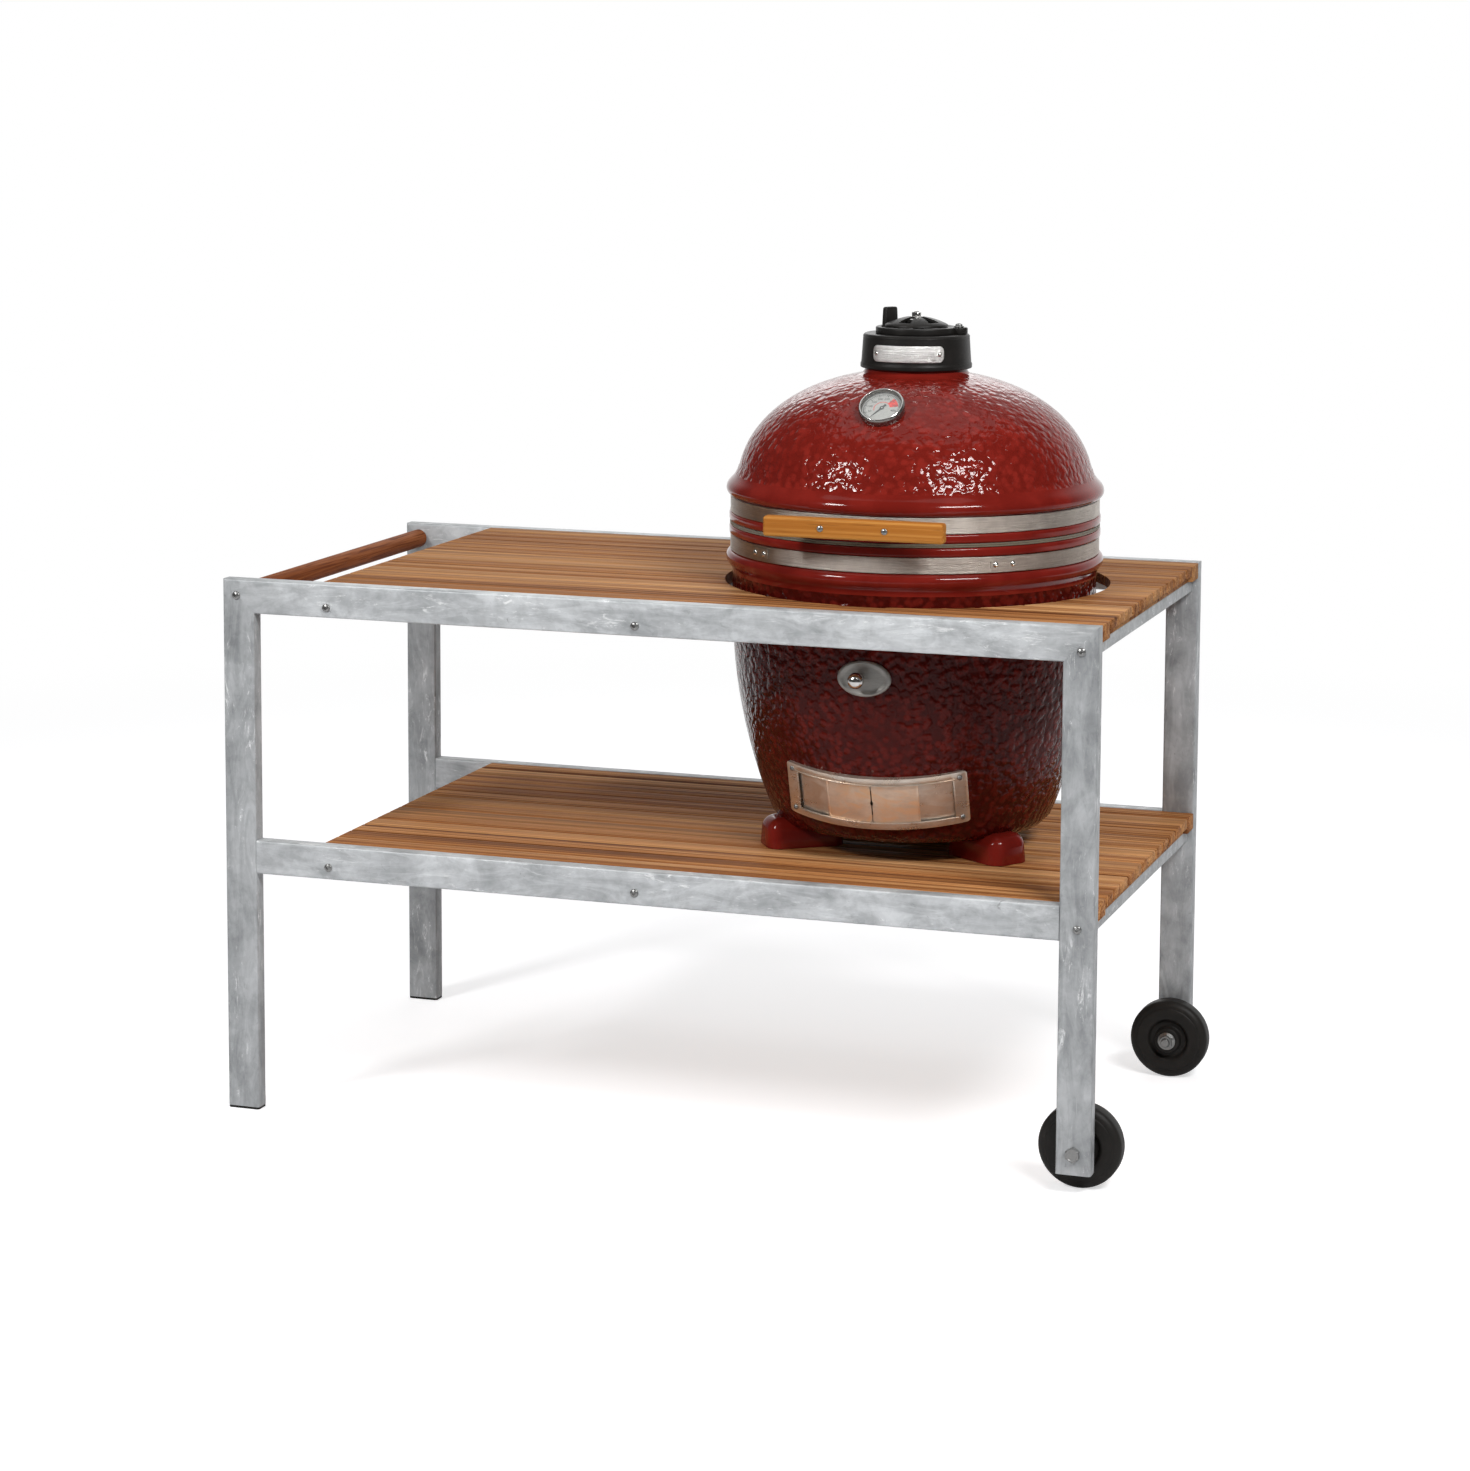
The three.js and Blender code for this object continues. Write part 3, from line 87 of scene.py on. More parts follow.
# The nodes of one tree
class Nodes:
    def __init__(self, tree):
        self.tree = tree

    def node(self, kind, settings=None, inputs=None, output=0):
        node = self.tree.nodes.new("ShaderNode" + kind)
        for word, value in (settings or {}).items():
            if word == "stops":
                ramp = node.color_ramp.elements
                while len(ramp) < len(value):
                    ramp.new(0.5)
                for stop, (at, colour) in zip(ramp, value):
                    stop.position, stop.color = at, (*colour, 1)
            else:
                setattr(node, word, value)
        for word, value in (inputs or {}).items():
            plug(self.tree, node.inputs[word], value)
        return Wire(self.tree, node.outputs[output])

    def noise(self, where, scale=1.0, detail=3.0, roughness=0.5, warp=0.0):
        inputs = {"Vector": where, "Scale": scale, "Detail": detail, "Roughness": roughness, "Distortion": warp}
        return self.node("TexNoise", None, inputs)

    def between(self, value, low, high, start=0.0, end=1.0):
        inputs = {"Value": value, "From Min": low, "From Max": high, "To Min": start, "To Max": end}
        return self.node("MapRange", {"interpolation_type": "SMOOTHSTEP"}, inputs)

    def whole(self, value):
        return self.node("Math", {"operation": "FLOOR"}, {0: value})

    def chance(self, number):
        return self.node("TexWhiteNoise", {"noise_dimensions": "1D"}, {"W": number})

    def mix(self, first, second, share):
        ends = [v if isinstance(v, Wire) else (*v, 1) for v in (first, second)]
        return self.node("Mix", {"data_type": "RGBA"}, {0: share, 6: ends[0], 7: ends[1]}, 2)


# A material; positions on it are the object's own, in metres
class Finish(Nodes):
    def __init__(self, name, **fixed):
        self.material = bpy.data.materials.new(name)
        self.material.use_nodes = True
        super().__init__(self.material.node_tree)
        self.shader = self.tree.nodes["Principled BSDF"]
        self.place = self.node("TexCoord", output="Object")
        for word, value in fixed.items():
            self.shader.inputs[word.replace("_", " ")].default_value = value

    def stretched(self, x, y, z, shift=None):
        place = self.place
        if shift is not None:
            place = self.node("VectorMath", {"operation": "ADD"}, {0: place, 1: shift})
        return self.node("VectorMath", {"operation": "MULTIPLY"}, {0: place, 1: (x, y, z)})

    def axis(self, number):
        return self.node("SeparateXYZ", None, {0: self.place}, number)

    def bump(self, height, depth, strength=1.0):
        inputs = {"Height": height, "Distance": depth, "Strength": strength}
        self.wear(Normal=self.node("Bump", None, inputs))

    def wear(self, **links):
        for word, value in links.items():
            plug(self.tree, self.shader.inputs[word.replace("_", " ")], value)


# Zinc coat. A lift above 1 is painted light: it brightens a rail's colour along X, between where it meets the legs.
railEnds = {"left": (-0.67, -0.52), "right": (0.63, 0.5)}


def galvanisedFinish(name, stretch, light, dark, streak, lift=1.0):
    f = Finish(name, Metallic=0.3, Specular_IOR_Level=0.3)
    clouds = f.noise(f.place, 13, 5, 0.62, 0.5)
    wipes = f.noise(f.stretched(*stretch), 1, 5, 0.68, 1.4)
    spangle = f.node("TexVoronoi", {"feature": "F1"}, {"Vector": f.place, "Scale": 110}, 1)
    grain = f.noise(f.place, 420, 3, 0.6)
    crystal = f.node("SeparateColor", None, {0: spangle})
    tone = f.between(clouds, 0.3, 0.7) * 0.5 + f.between(wipes, 0.35, 0.68) * 0.38 + crystal * 0.12
    colour = f.mix(dark, light, tone)
    # painted light: the zinc colour is lifted between the legs, where the rail looks lit
    if lift > 1:
        paintedLightSpan = f.between(f.axis(0), *railEnds["left"]) * f.between(f.axis(0), *railEnds["right"])
        paintedLitTones = [tuple(c * lift for c in shade) for shade in (dark, light)]
        colour = f.mix(colour, f.mix(*paintedLitTones, tone), paintedLightSpan)
    lines = f.noise(f.stretched(*[v * 2.2 for v in stretch]), 1, 8, 0.78, 1.6)
    strokes = f.between(f.noise(f.stretched(*[v * 0.8 for v in stretch]), 1, 3, 0.5, 0.8), 0.42, 0.6)
    marks = f.between(lines, 0.54, 0.66) * strokes
    scuffs = f.between(f.noise(f.place, 60, 6, 0.75, 1), 0.64, 0.72)
    colour = f.mix(colour, streak, marks * 0.8)
    f.wear(Base_Color=f.mix(colour, (0.13, 0.135, 0.14), scuffs * 0.5 + f.between(lines, 0.44, 0.3) * 0.3))
    f.wear(Roughness=f.between(clouds, 0.2, 0.8, 0.4, 0.6) + grain * 0.08 - marks * 0.1)
    f.bump(grain * 0.5 + clouds * 1.5 + crystal * 0.3, 0.0003, 0.5)
    return f.material


# Boards lie side by side across Y, so each gets its own tone from its place. The grain runs along X.
def plankFinish(name, pitch, low, tones, along=(1.0, 1.0, 1.0), gloss=0.5, seed=0.0):
    f = Finish(name, Specular_IOR_Level=0.012)
    ax, ay, az = along
    y, z = f.axis(1), f.axis(2)
    board, deck = f.whole((y - low) / pitch), f.whole(z * 4)
    first = f.chance(board * 1.37 + deck * 7.1 + seed)
    second = f.chance(board * 3.11 + deck * 2.3 + seed + 9)
    stave = f.chance(f.whole((y - low) * 4 / pitch) * 0.731 + deck * 3.7 + seed)
    shift = f.node("CombineXYZ", None, {0: first * 7, 1: second * 3, 2: first})

    def grain(length, across, *rest):
        return f.noise(f.stretched(length * ax, across * ay, across * az, shift), 1, *rest)

    bands, rings = grain(0.9, 64, 3, 0.55, 0.4), grain(1.0, 240, 4, 0.6, 0.8)
    fibres, pores = grain(9, 900, 3, 0.6), f.between(grain(16, 1400, 2, 0.5), 0.62, 0.72)
    tone = f.between(bands, 0.36, 0.64) * 0.4 + f.between(rings, 0.38, 0.62) * 0.34
    tone = tone + first * 0.16 + stave * 0.26 - 0.08
    colour = f.node("ValToRGB", {"stops": tones}, {0: tone})
    darkest, lightest = tones[0][1], tones[-1][1]
    thin = grain(0.8, 360, 2, 0.5, 0.5)
    colour = f.mix(colour, darkest, f.between(thin, 0.55, 0.62) * 0.8)
    colour = f.mix(colour, lightest, f.between(thin, 0.42, 0.3) * 0.35)
    colour = f.mix(colour, (0.05, 0.022, 0.01), pores * 0.45)
    f.wear(Base_Color=f.mix(colour, lightest, f.between(second, 0.8, 0.95) * 0.25))
    f.wear(Roughness=gloss + fibres * 0.14 - 0.05 + pores * 0.1)
    f.bump(fibres * 0.6 + rings * 0.7 - pores, 0.00035, 0.55)
    return f.material


# Glaze is even, or dimpled to a depth, with darker glaze pooled in the hollows and painted shade of the dimples there
# as well
def glazeFinish(name, light, dark, depth=0.0, shine=0.27, hollowPoolAndShade=None):
    f = Finish(name, IOR=1.5, Specular_IOR_Level=shine)
    pools = f.noise(f.place, 22, 3, 0.5)
    colour = f.mix(dark, light, f.between(pools, 0.3, 0.7))
    if depth:
        inputs = {"Vector": f.place, "Scale": 92.0, "Smoothness": 0.6}
        lumps = f.node("TexVoronoi", {"feature": "SMOOTH_F1"}, inputs)
        peel = f.noise(f.place, 96, 1.0, 0.4, 0.3)
        height = f.between(lumps, 0.72, 0.2) * 0.55 + f.between(peel, 0.3, 0.62) * 0.45
        # darker in the hollows: glaze pooled there, and painted shade of the dimples
        colour = f.mix(hollowPoolAndShade, colour, f.between(lumps, 0.62, 0.28))
        f.wear(Roughness=0.08 + f.between(pools, 0.2, 0.8) * 0.05)
        f.bump(height, depth)
    else:
        f.wear(Roughness=0.07 + pools * 0.05)
        f.bump(pools, 0.0005, 0.3)
    f.wear(Base_Color=colour)
    return f.material


# Brushing runs the way the stretch is small; grain spreads the shine across it on rings round Z
def brushedFinish(name, light, dark, stretch, rough=0.26, metal=1.0, woodReflection=None, ridge=0.00003, grain=0.0):
    f = Finish(name, Metallic=metal, Anisotropic=grain, Anisotropic_Rotation=0.25)
    lines = f.noise(f.stretched(*stretch), 1, 4, 0.7)
    clouds = f.noise(f.place, 30, 4, 0.6, 0.5)
    smears = f.between(f.noise(f.place, 70, 5, 0.7, 1.5), 0.55, 0.75)
    colour = f.mix(dark, light, f.between(lines * 0.6 + clouds * 0.4, 0.3, 0.7))
    # woodReflection: a painted reflection of the teak, laid in warm patches over the steel
    if woodReflection:
        colour = f.mix(colour, woodReflection, f.between(f.noise(f.stretched(16, 16, 30), 1, 4, 0.6, 1.8), 0.4, 0.65))
    f.wear(Base_Color=colour, Roughness=rough + lines * 0.14 + smears * 0.12)
    f.bump(lines, ridge)
    return f.material


def castFinish(name, base, edge, gloss, grit=1.0):
    f = Finish(name, Specular_IOR_Level=0.22)
    sand = f.noise(f.place, 1300, 3, 0.6)
    clouds = f.noise(f.place, 45, 4, 0.6)
    rubbed = f.between(f.noise(f.place, 120, 5, 0.7, 0.8), 0.58, 0.72)
    f.wear(Base_Color=f.mix(base, edge, rubbed * 0.5 + f.between(clouds, 0.4, 0.8) * 0.3))
    f.wear(Roughness=gloss + sand * 0.12 - rubbed * 0.08)
    f.bump(sand * grit + clouds * 2, 0.00025, 0.5)
    return f.material


def feltFinish():
    f = Finish("feltGrey", Roughness=0.95, Sheen_Weight=0.35, Sheen_Roughness=0.6)
    wool = f.noise(f.place, 800, 4, 0.75, 1.2)
    tufts = f.noise(f.place, 120, 4, 0.6)
    f.wear(Base_Color=f.mix((0.05, 0.041, 0.025), (0.235, 0.192, 0.12), wool * 0.6 + tufts * 0.4))
    f.bump(wool + tufts, 0.0006, 0.9)
    return f.material


def clayFinish(name, light, dark, soot):
    f = Finish(name, Roughness=0.9)
    grit = f.noise(f.place, 500, 4, 0.7)
    burn = f.noise(f.place, 9, 5, 0.6, 0.8)
    colour = f.mix(dark, light, grit * 0.6 + burn * 0.4)
    f.wear(Base_Color=f.mix(colour, soot, f.between(burn, 0.5, 0.75) * 0.6), Roughness=0.8 + grit * 0.15)
    f.bump(grit + burn, 0.0006, 0.7)
    return f.material


def plainFinish(name, base, spread, rough, metal=0.0, **fixed):
    f = Finish(name, Metallic=metal, **fixed)
    flecks = f.noise(f.place, 260, 4, 0.6)
    other = tuple(min(1.0, c * spread) for c in base)
    f.wear(Base_Color=f.mix(base, other, flecks), Roughness=rough + flecks * 0.08)
    f.bump(flecks, 0.00006, 0.3)
    return f.material


# Colours of the finishes
boards = {"pitch": 0.046179, "low": -0.3217}
teakTones = [
    (0.0, (0.10, 0.032, 0.011)),
    (0.3, (0.27, 0.103, 0.034)),
    (0.55, (0.40, 0.172, 0.060)),
    (0.8, (0.51, 0.252, 0.102)),
    (1.0, (0.62, 0.36, 0.17)),
]
barTones = [
    (0.0, (0.12, 0.032, 0.012)),
    (0.45, (0.22, 0.066, 0.022)),
    (0.8, (0.31, 0.105, 0.038)),
    (1.0, (0.38, 0.15, 0.06)),
]
bambooTones = [(0.0, (0.36, 0.125, 0.022)), (0.5, (0.52, 0.225, 0.05)), (1.0, (0.62, 0.32, 0.10))]
# painted light: the shelf's teak is the deck's teak made lighter, as if lit more
shelfTonesPaintedLit = [(at, tuple(c * 1.22 for c in tone)) for at, tone in teakTones]
zincTones = {"light": (0.57, 0.585, 0.595), "dark": (0.25, 0.26, 0.267), "streak": (0.95, 0.96, 0.96)}
uprightZinc = galvanisedFinish("galvanisedUpright", (38, 38, 9), **zincTones)
# the level tubes get the painted light; the uprights keep the plain zinc
paintedLitLevelZinc = galvanisedFinish("galvanisedLevelPaintedLight", (9, 38, 38), **zincTones, lift=1.36)
teak = plankFinish("oiledTeak", boards["pitch"], boards["low"], teakTones)
shelfTeakPaintedLight = plankFinish("shelfTeakPaintedLight", boards["pitch"], boards["low"], shelfTonesPaintedLit)
oneBoard = {"pitch": 4.0, "low": -2.0}
barWood = plankFinish("barTeak", **oneBoard, tones=barTones, along=(46, 0.02, 1.0), gloss=0.42)
bamboo = plankFinish("handleBamboo", **oneBoard, tones=bambooTones, along=(0.8, 0.7, 0.5), gloss=0.36, seed=4)

dimpledRed = {"light": (0.225, 0.017, 0.011), "dark": (0.165, 0.0105, 0.0065), "hollowPoolAndShade": (0.15, 0.0098, 0.006)}
# painted shade: the lower body's glaze is the dome's glaze darkened, for the deck's shade over it
lowerRedPaintedShade = {"light": (0.115, 0.009, 0.0054), "dark": (0.075, 0.0058, 0.0036), "hollowPoolAndShade": (0.052, 0.0038, 0.0024)}
domeGlaze = glazeFinish("oxbloodDimpled", **dimpledRed, depth=0.00115)
bodyGlazePaintedShade = glazeFinish("oxbloodLowerPaintedShade", **lowerRedPaintedShade, depth=0.0016, shine=0.13)
evenGlaze = glazeFinish("oxbloodSmooth", (0.20, 0.0145, 0.0095), (0.15, 0.0095, 0.006))

ringBrushing, sheetBrushing = (14, 14, 700), (26, 26, 60)
bandTones = ((0.69, 0.635, 0.57), (0.45, 0.40, 0.355))
plateTones = ((0.86, 0.85, 0.83), (0.66, 0.65, 0.63))
# painted reflection: the draft door's steel tones are warmed by the teak they reflect
surroundTonesAndReflection, surroundWoodReflection = ((0.74, 0.66, 0.58), (0.50, 0.42, 0.35)), (0.62, 0.50, 0.40)
sheetTonesAndReflection, sheetWoodReflection = ((0.80, 0.62, 0.48), (0.60, 0.44, 0.33)), (0.76, 0.48, 0.29)
bandSteel = brushedFinish("bandSteel", *bandTones, ringBrushing, 0.42, ridge=0.0012, grain=0.9)
surroundSteel = brushedFinish("surroundSteel", *surroundTonesAndReflection, sheetBrushing, 0.22, 0.8, surroundWoodReflection)
sheetSteel = brushedFinish("doorSteel", *sheetTonesAndReflection, sheetBrushing, 0.26, 0.6, sheetWoodReflection)
plateSteel = brushedFinish("plateSteel", *plateTones, ringBrushing, 0.34, ridge=0.0012)
ovalSteel = brushedFinish("ovalSteel", (0.40, 0.385, 0.36), (0.29, 0.28, 0.26), (30, 900, 900), 0.4, 0.7)
rimSteel = plainFinish("rimSteel", (0.20, 0.19, 0.18), 1.6, 0.2, 0.9)
grateSteel = brushedFinish("grateSteel", (0.52, 0.50, 0.47), (0.22, 0.20, 0.18), (300, 300, 300), 0.34)
polished = plainFinish("polishedSteel", (0.62, 0.61, 0.59), 1.25, 0.13, 1.0)
zinc = plainFinish("zincBolt", (0.24, 0.24, 0.235), 1.6, 0.3, 0.9)
springWire = plainFinish("springWire", (0.30, 0.30, 0.30), 1.4, 0.3, 1.0)
felt = feltFinish()
castIron = castFinish("satinIron", (0.012, 0.011, 0.010), (0.035, 0.03, 0.027), 0.34)
grateIron = castFinish("grateIron", (0.022, 0.020, 0.018), (0.06, 0.05, 0.045), 0.6)
blackPlastic = castFinish("mouldedBlack", (0.014, 0.0125, 0.011), (0.032, 0.028, 0.024), 0.42, 0.6)
fireClay = clayFinish("fireClay", (0.52, 0.42, 0.31), (0.34, 0.26, 0.19), (0.06, 0.05, 0.045))
rawClay = clayFinish("shellClay", (0.46, 0.36, 0.27), (0.30, 0.22, 0.16), (0.05, 0.042, 0.038))
dialWhite = plainFinish("dialSilver", (0.33, 0.33, 0.31), 1.2, 0.4)
dialBlack = plainFinish("dialBlack", (0.02, 0.02, 0.02), 1.5, 0.4)
dialRed = plainFinish("dialRed", (0.60, 0.022, 0.012), 1.2, 0.5)
clearGlass = plainFinish("clearGlass", (0.92, 0.95, 0.95), 1.02, 0.02, 0.0, Alpha=0.06, IOR=1.3)
print("finishes made:", len(bpy.data.materials))

# Mesh tools. Shapes are made in millimetres and moved to their place by a matrix.
millimetres = Matrix.Scale(0.001, 4)
leftEdge = -677.5
kamadoSpot = (0.2795, 0.008, 0.41)  # where its axis meets the shelf, in metres
kamadoAt = Matrix.Translation(kamadoSpot) @ millimetres


def turn(degrees, axis):
    return Matrix.Rotation(math.radians(degrees), 4, axis)


def spot(x, y, z):
    return Matrix.Translation((x, y, z))


def softened(points, steps=3):
    rounded = []
    for i, point in enumerate(points):
        here = Vector(point[:2])
        reach = point[2] if len(point) > 2 else 0
        if not reach:
            rounded.append((here.x, here.y))
            continue
        before = here + (Vector(points[i - 1][:2]) - here).normalized() * reach
        after = here + (Vector(points[(i + 1) % len(points)][:2]) - here).normalized() * reach
        for k in range(steps + 1):
            t = k / steps
            p = before * (1 - t) ** 2 + here * 2 * t * (1 - t) + after * t**2
            rounded.append((p.x, p.y))
    return rounded


def arc(x, y, radiusX, radiusY, start, end, steps):
    angles = [math.radians(start + (end - start) * i / steps) for i in range(steps + 1)]
    return [(x + radiusX * math.cos(a), y + radiusY * math.sin(a)) for a in angles]


# Turns a profile of (radius, height) round Z, from the front. A radius below 0 makes that ring a hexagon.
def lathe(profile, segments, closed=True, tag=None):
    bm = bmesh.new()
    rings = []
    for r, z in profile:
        if abs(r) < 1e-6:
            rings.append([bm.verts.new((0, 0, z))])
            continue
        ring = []
        for k in range(segments):
            a = 2 * math.pi * k / segments
            reach = r
            if r < 0:
                reach = -r * math.cos(math.pi / 6) / math.cos(a % (math.pi / 3) - math.pi / 6)
            ring.append(bm.verts.new((reach * math.sin(a), -reach * math.cos(a), z)))
        rings.append(ring)
    pairs = list(zip(rings, rings[1:]))
    if closed:
        pairs.append((rings[-1], rings[0]))
    for i, (low, high) in enumerate(pairs):
        if len(low) == 1 and len(high) == 1:
            continue
        for k in range(segments):
            j = (k + 1) % segments
            corners = [low[k % len(low)], low[j % len(low)], high[j % len(high)], high[k % len(high)]]
            face = bm.faces.new(list(dict.fromkeys(corners)))
            if tag:
                face.material_index = tag(i)
    return bm


def rod(radius, low, high, sides=32):
    return lathe([(0, low), (radius, low), (radius, high), (0, high)], sides, False)


def hexRing(across):
    return -across / math.sqrt(3)


def prism(outline, depth):
    bm = bmesh.new()
    bottom = [bm.verts.new((x, y, 0)) for x, y in outline]
    top = [bm.verts.new((x, y, depth)) for x, y in outline]
    bm.faces.new(bottom[::-1])
    bm.faces.new(top)
    for i in range(len(outline)):
        j = (i + 1) % len(outline)
        bm.faces.new((bottom[i], bottom[j], top[j], top[i]))
    return bm


def slab(width, depth, height, radius=0.0, steps=2):
    bm = bmesh.new()
    bmesh.ops.create_cube(bm, size=1, matrix=Matrix.Diagonal((width, depth, height, 1)))
    if radius:
        bmesh.ops.bevel(bm, geom=bm.edges[:], offset=radius, segments=steps, profile=0.5, affect="EDGES")
    return bm


def chamfer(bm, width, steps=2, angle=40):
    bmesh.ops.recalc_face_normals(bm, faces=bm.faces[:])
    sharp = [e for e in bm.edges if e.is_manifold and e.calc_face_angle(0) > math.radians(angle)]
    bmesh.ops.bevel(bm, geom=sharp, offset=width, segments=steps, profile=0.5, affect="EDGES", clamp_overlap=True)
    return bm


def moved(bm, matrix):
    bm.transform(matrix)
    return bm


def gather(*parts):
    whole = bmesh.new()
    for part in parts:
        mesh = bpy.data.meshes.new("part")
        part.to_mesh(mesh)
        whole.from_mesh(mesh)
        bpy.data.meshes.remove(mesh)
        part.free()
    return whole


# Boolean of one mesh with others: the solver needs objects, so they are made and removed
def carved(bm, *cutters, operation="DIFFERENCE"):
    made = []
    for shape in (bm, *cutters):
        bmesh.ops.recalc_face_normals(shape, faces=shape.faces[:])
        mesh = bpy.data.meshes.new("carving")
        shape.to_mesh(mesh)
        shape.free()
        thing = bpy.data.objects.new("carving", mesh)
        scene.collection.objects.link(thing)
        made.append(thing)
    for cutter in made[1:]:
        change = made[0].modifiers.new("cut", "BOOLEAN")
        change.operation, change.solver, change.object = operation, "EXACT", cutter
    result = bpy.data.meshes.new_from_object(made[0].evaluated_get(bpy.context.evaluated_depsgraph_get()))
    whole = bmesh.new()
    whole.from_mesh(result)
    for thing in made:
        mesh = thing.data
        bpy.data.objects.remove(thing)
        bpy.data.meshes.remove(mesh)
    bpy.data.meshes.remove(result)
    return whole


# Bends a plate that stands in XZ and faces -Y round an upright axis behind it
def bent(bm, radiusAt, step=6.0):
    low = min(v.co.x for v in bm.verts)
    high = max(v.co.x for v in bm.verts)
    cuts = max(int((high - low) / step), 1)
    for i in range(1, cuts):
        geom = bm.verts[:] + bm.edges[:] + bm.faces[:]
        at = (low + (high - low) * i / cuts, 0, 0)
        bmesh.ops.bisect_plane(bm, geom=geom, plane_co=at, plane_no=(1, 0, 0), dist=1e-4)
    for v in bm.verts:
        radius = radiusAt(v.co.z)
        a, out = v.co.x / radius, radius - v.co.y
        v.co.x, v.co.y = out * math.sin(a), -out * math.cos(a)
    return bm


def piece(name, bm, matrix, finishes, body, stands=(), crease=34):
    bm.transform(matrix)
    bmesh.ops.remove_doubles(bm, verts=bm.verts[:], dist=1e-6)
    bmesh.ops.recalc_face_normals(bm, faces=bm.faces[:])
    mesh = bpy.data.meshes.new(name)
    bm.to_mesh(mesh)
    bm.free()
    thing = bpy.data.objects.new(name, mesh)
    scene.collection.objects.link(thing)
    for finish in finishes if isinstance(finishes, (list, tuple)) else [finishes]:
        mesh.materials.append(finish)
    mesh.shade_smooth()
    mesh.set_sharp_from_angle(angle=math.radians(crease))
    if body:
        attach(thing, body)
    if stands:
        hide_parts(*stands)
    return thing


def coat(finish, *nodes):
    for node in nodes:
        thing = bpy.data.objects[node]
        for holder in thing.material_slots:
            holder.material = finish


def outlineBox(width, height, corner, steps=5):
    x, y = width / 2 - corner, height / 2 - corner
    corners = [(x, y, 0), (-x, y, 90), (-x, -y, 180), (x, -y, 270)]
    return [p for cx, cy, a in corners for p in arc(cx, cy, corner, corner, a, a + 90, steps)]


# Screw with a round head and a hexagon socket, pointing out along +Z
def screw(radius, height, socket=0.42):
    rim = radius * 0.94
    hexagon = -radius * socket
    top = height * 0.97
    profile = [(0, -1), (rim, -1), (radius, 0), (radius, height * 0.2)]
    profile += arc(0, height * 0.2, radius, height * 0.8, 15, 62, 4)
    profile += [(hexagon * 1.06, top), (hexagon, top - height * 0.12), (hexagon, height * 0.4), (0, height * 0.34)]
    return lathe(profile, 24)


facingFront = turn(90, "X")  # +Z becomes -Y
facingBack = turn(-90, "X")  # +Z becomes +Y


# A place on a ring round Z, facing out. Angle 0 is the front, and angles grow towards the right.
def onRing(angle, radius, z):
    return turn(angle, "Z") @ spot(0, -radius, z) @ facingFront


def screws(name, size, places, matrix, finish, rider):
    heads = [moved(screw(*size), place) for place in places]
    piece(name, gather(*heads), matrix, finish, rider)



# Table frame
tube = {"width": 50, "depth": 25, "wall": 2, "corner": 3, "bore": 1.2}
table = {"length": 1320, "depth": 695, "height": 800, "shelf": 410, "clearance": 30, "foot": 3.3}


def tubeMesh(width, depth, wall, corner, bore, length, start=0, end=0, longSide=1):
    bm = bmesh.new()
    rows = []
    for outline in (outlineBox(width, depth, corner, 4), outlineBox(width - 2 * wall, depth - 2 * wall, bore, 4)):
        for atEnd in (False, True):
            row = []
            for x, y in outline:
                back = width / 2 - longSide * x
                z = length - end * back if atEnd else start * back
                row.append(bm.verts.new((x, y, z)))
            rows.append(row)
    outStart, outEnd, inStart, inEnd = rows
    for low, high in ((outStart, outEnd), (inStart, inEnd), (outStart, inStart), (outEnd, inEnd)):
        for k in range(len(low)):
            j = (k + 1) % len(low)
            bm.faces.new((low[k], low[j], high[j], high[k]))
    bmesh.ops.recalc_face_normals(bm, faces=bm.faces[:])
    return bm


def frameTubes():
    t, b = tube, table
    section = (t["width"], t["depth"], t["wall"], t["corner"], t["bore"])
    half = t["width"] / 2
    for side, word in ((-1, "front"), (1, "back")):
        y = side * (b["depth"] - t["depth"]) / 2
        leftX, rightX = leftEdge + half, leftEdge + b["length"] - half
        leftLength = b["height"] - b["foot"]
        rightLength = b["height"] - b["clearance"]
        upright = [
            ("left_leg", tubeMesh(*section, leftLength, 0, 1, -1), spot(leftX, y, b["foot"])),
            ("right_leg", tubeMesh(*section, rightLength, 0, 1, 1), spot(rightX, y, b["clearance"])),
        ]
        along = turn(90, "Y")
        lowerLength = b["length"] - 2 * t["width"]
        lowerX = leftEdge + t["width"]
        level = [
            ("top_rail", tubeMesh(*section, b["length"], 1, 1, -1), spot(leftEdge, y, b["height"] - half) @ along),
            ("lower_rail", tubeMesh(*section, lowerLength), spot(lowerX, y, b["shelf"] - half) @ along),
        ]
        for finish, group in ((uprightZinc, upright), (paintedLitLevelZinc, level)):
            for part, bm, place in group:
                node = f"{word}_{part}"
                piece(node + "_tube", bm, millimetres @ place, finish, "frame", [node], 50)


cross = {"width": 30, "depth": 20, "wall": 1.5, "corner": 2.5, "bore": 1, "drop": 35, "length": 644.4}
crossSpots = {"left": 167, "middle": 647, "right": 1296}
frameScrew = {"size": (6.2, 3.4), "topDrop": 35, "lowerDrop": 32, "barX": 22, "barDrop": 24}


def crossTubes():
    c = cross
    for level, height in (("top", table["height"]), ("lower", table["shelf"])):
        for word, x in crossSpots.items():
            node = f"{level}_{word}_cross_member"
            bm = tubeMesh(c["width"], c["depth"], c["wall"], c["corner"], c["bore"], c["length"])
            place = spot(leftEdge + x, c["length"] / 2, height - c["drop"]) @ facingFront
            piece(node + "_tube", bm, millimetres @ place, paintedLitLevelZinc, "frame", [node], 50)


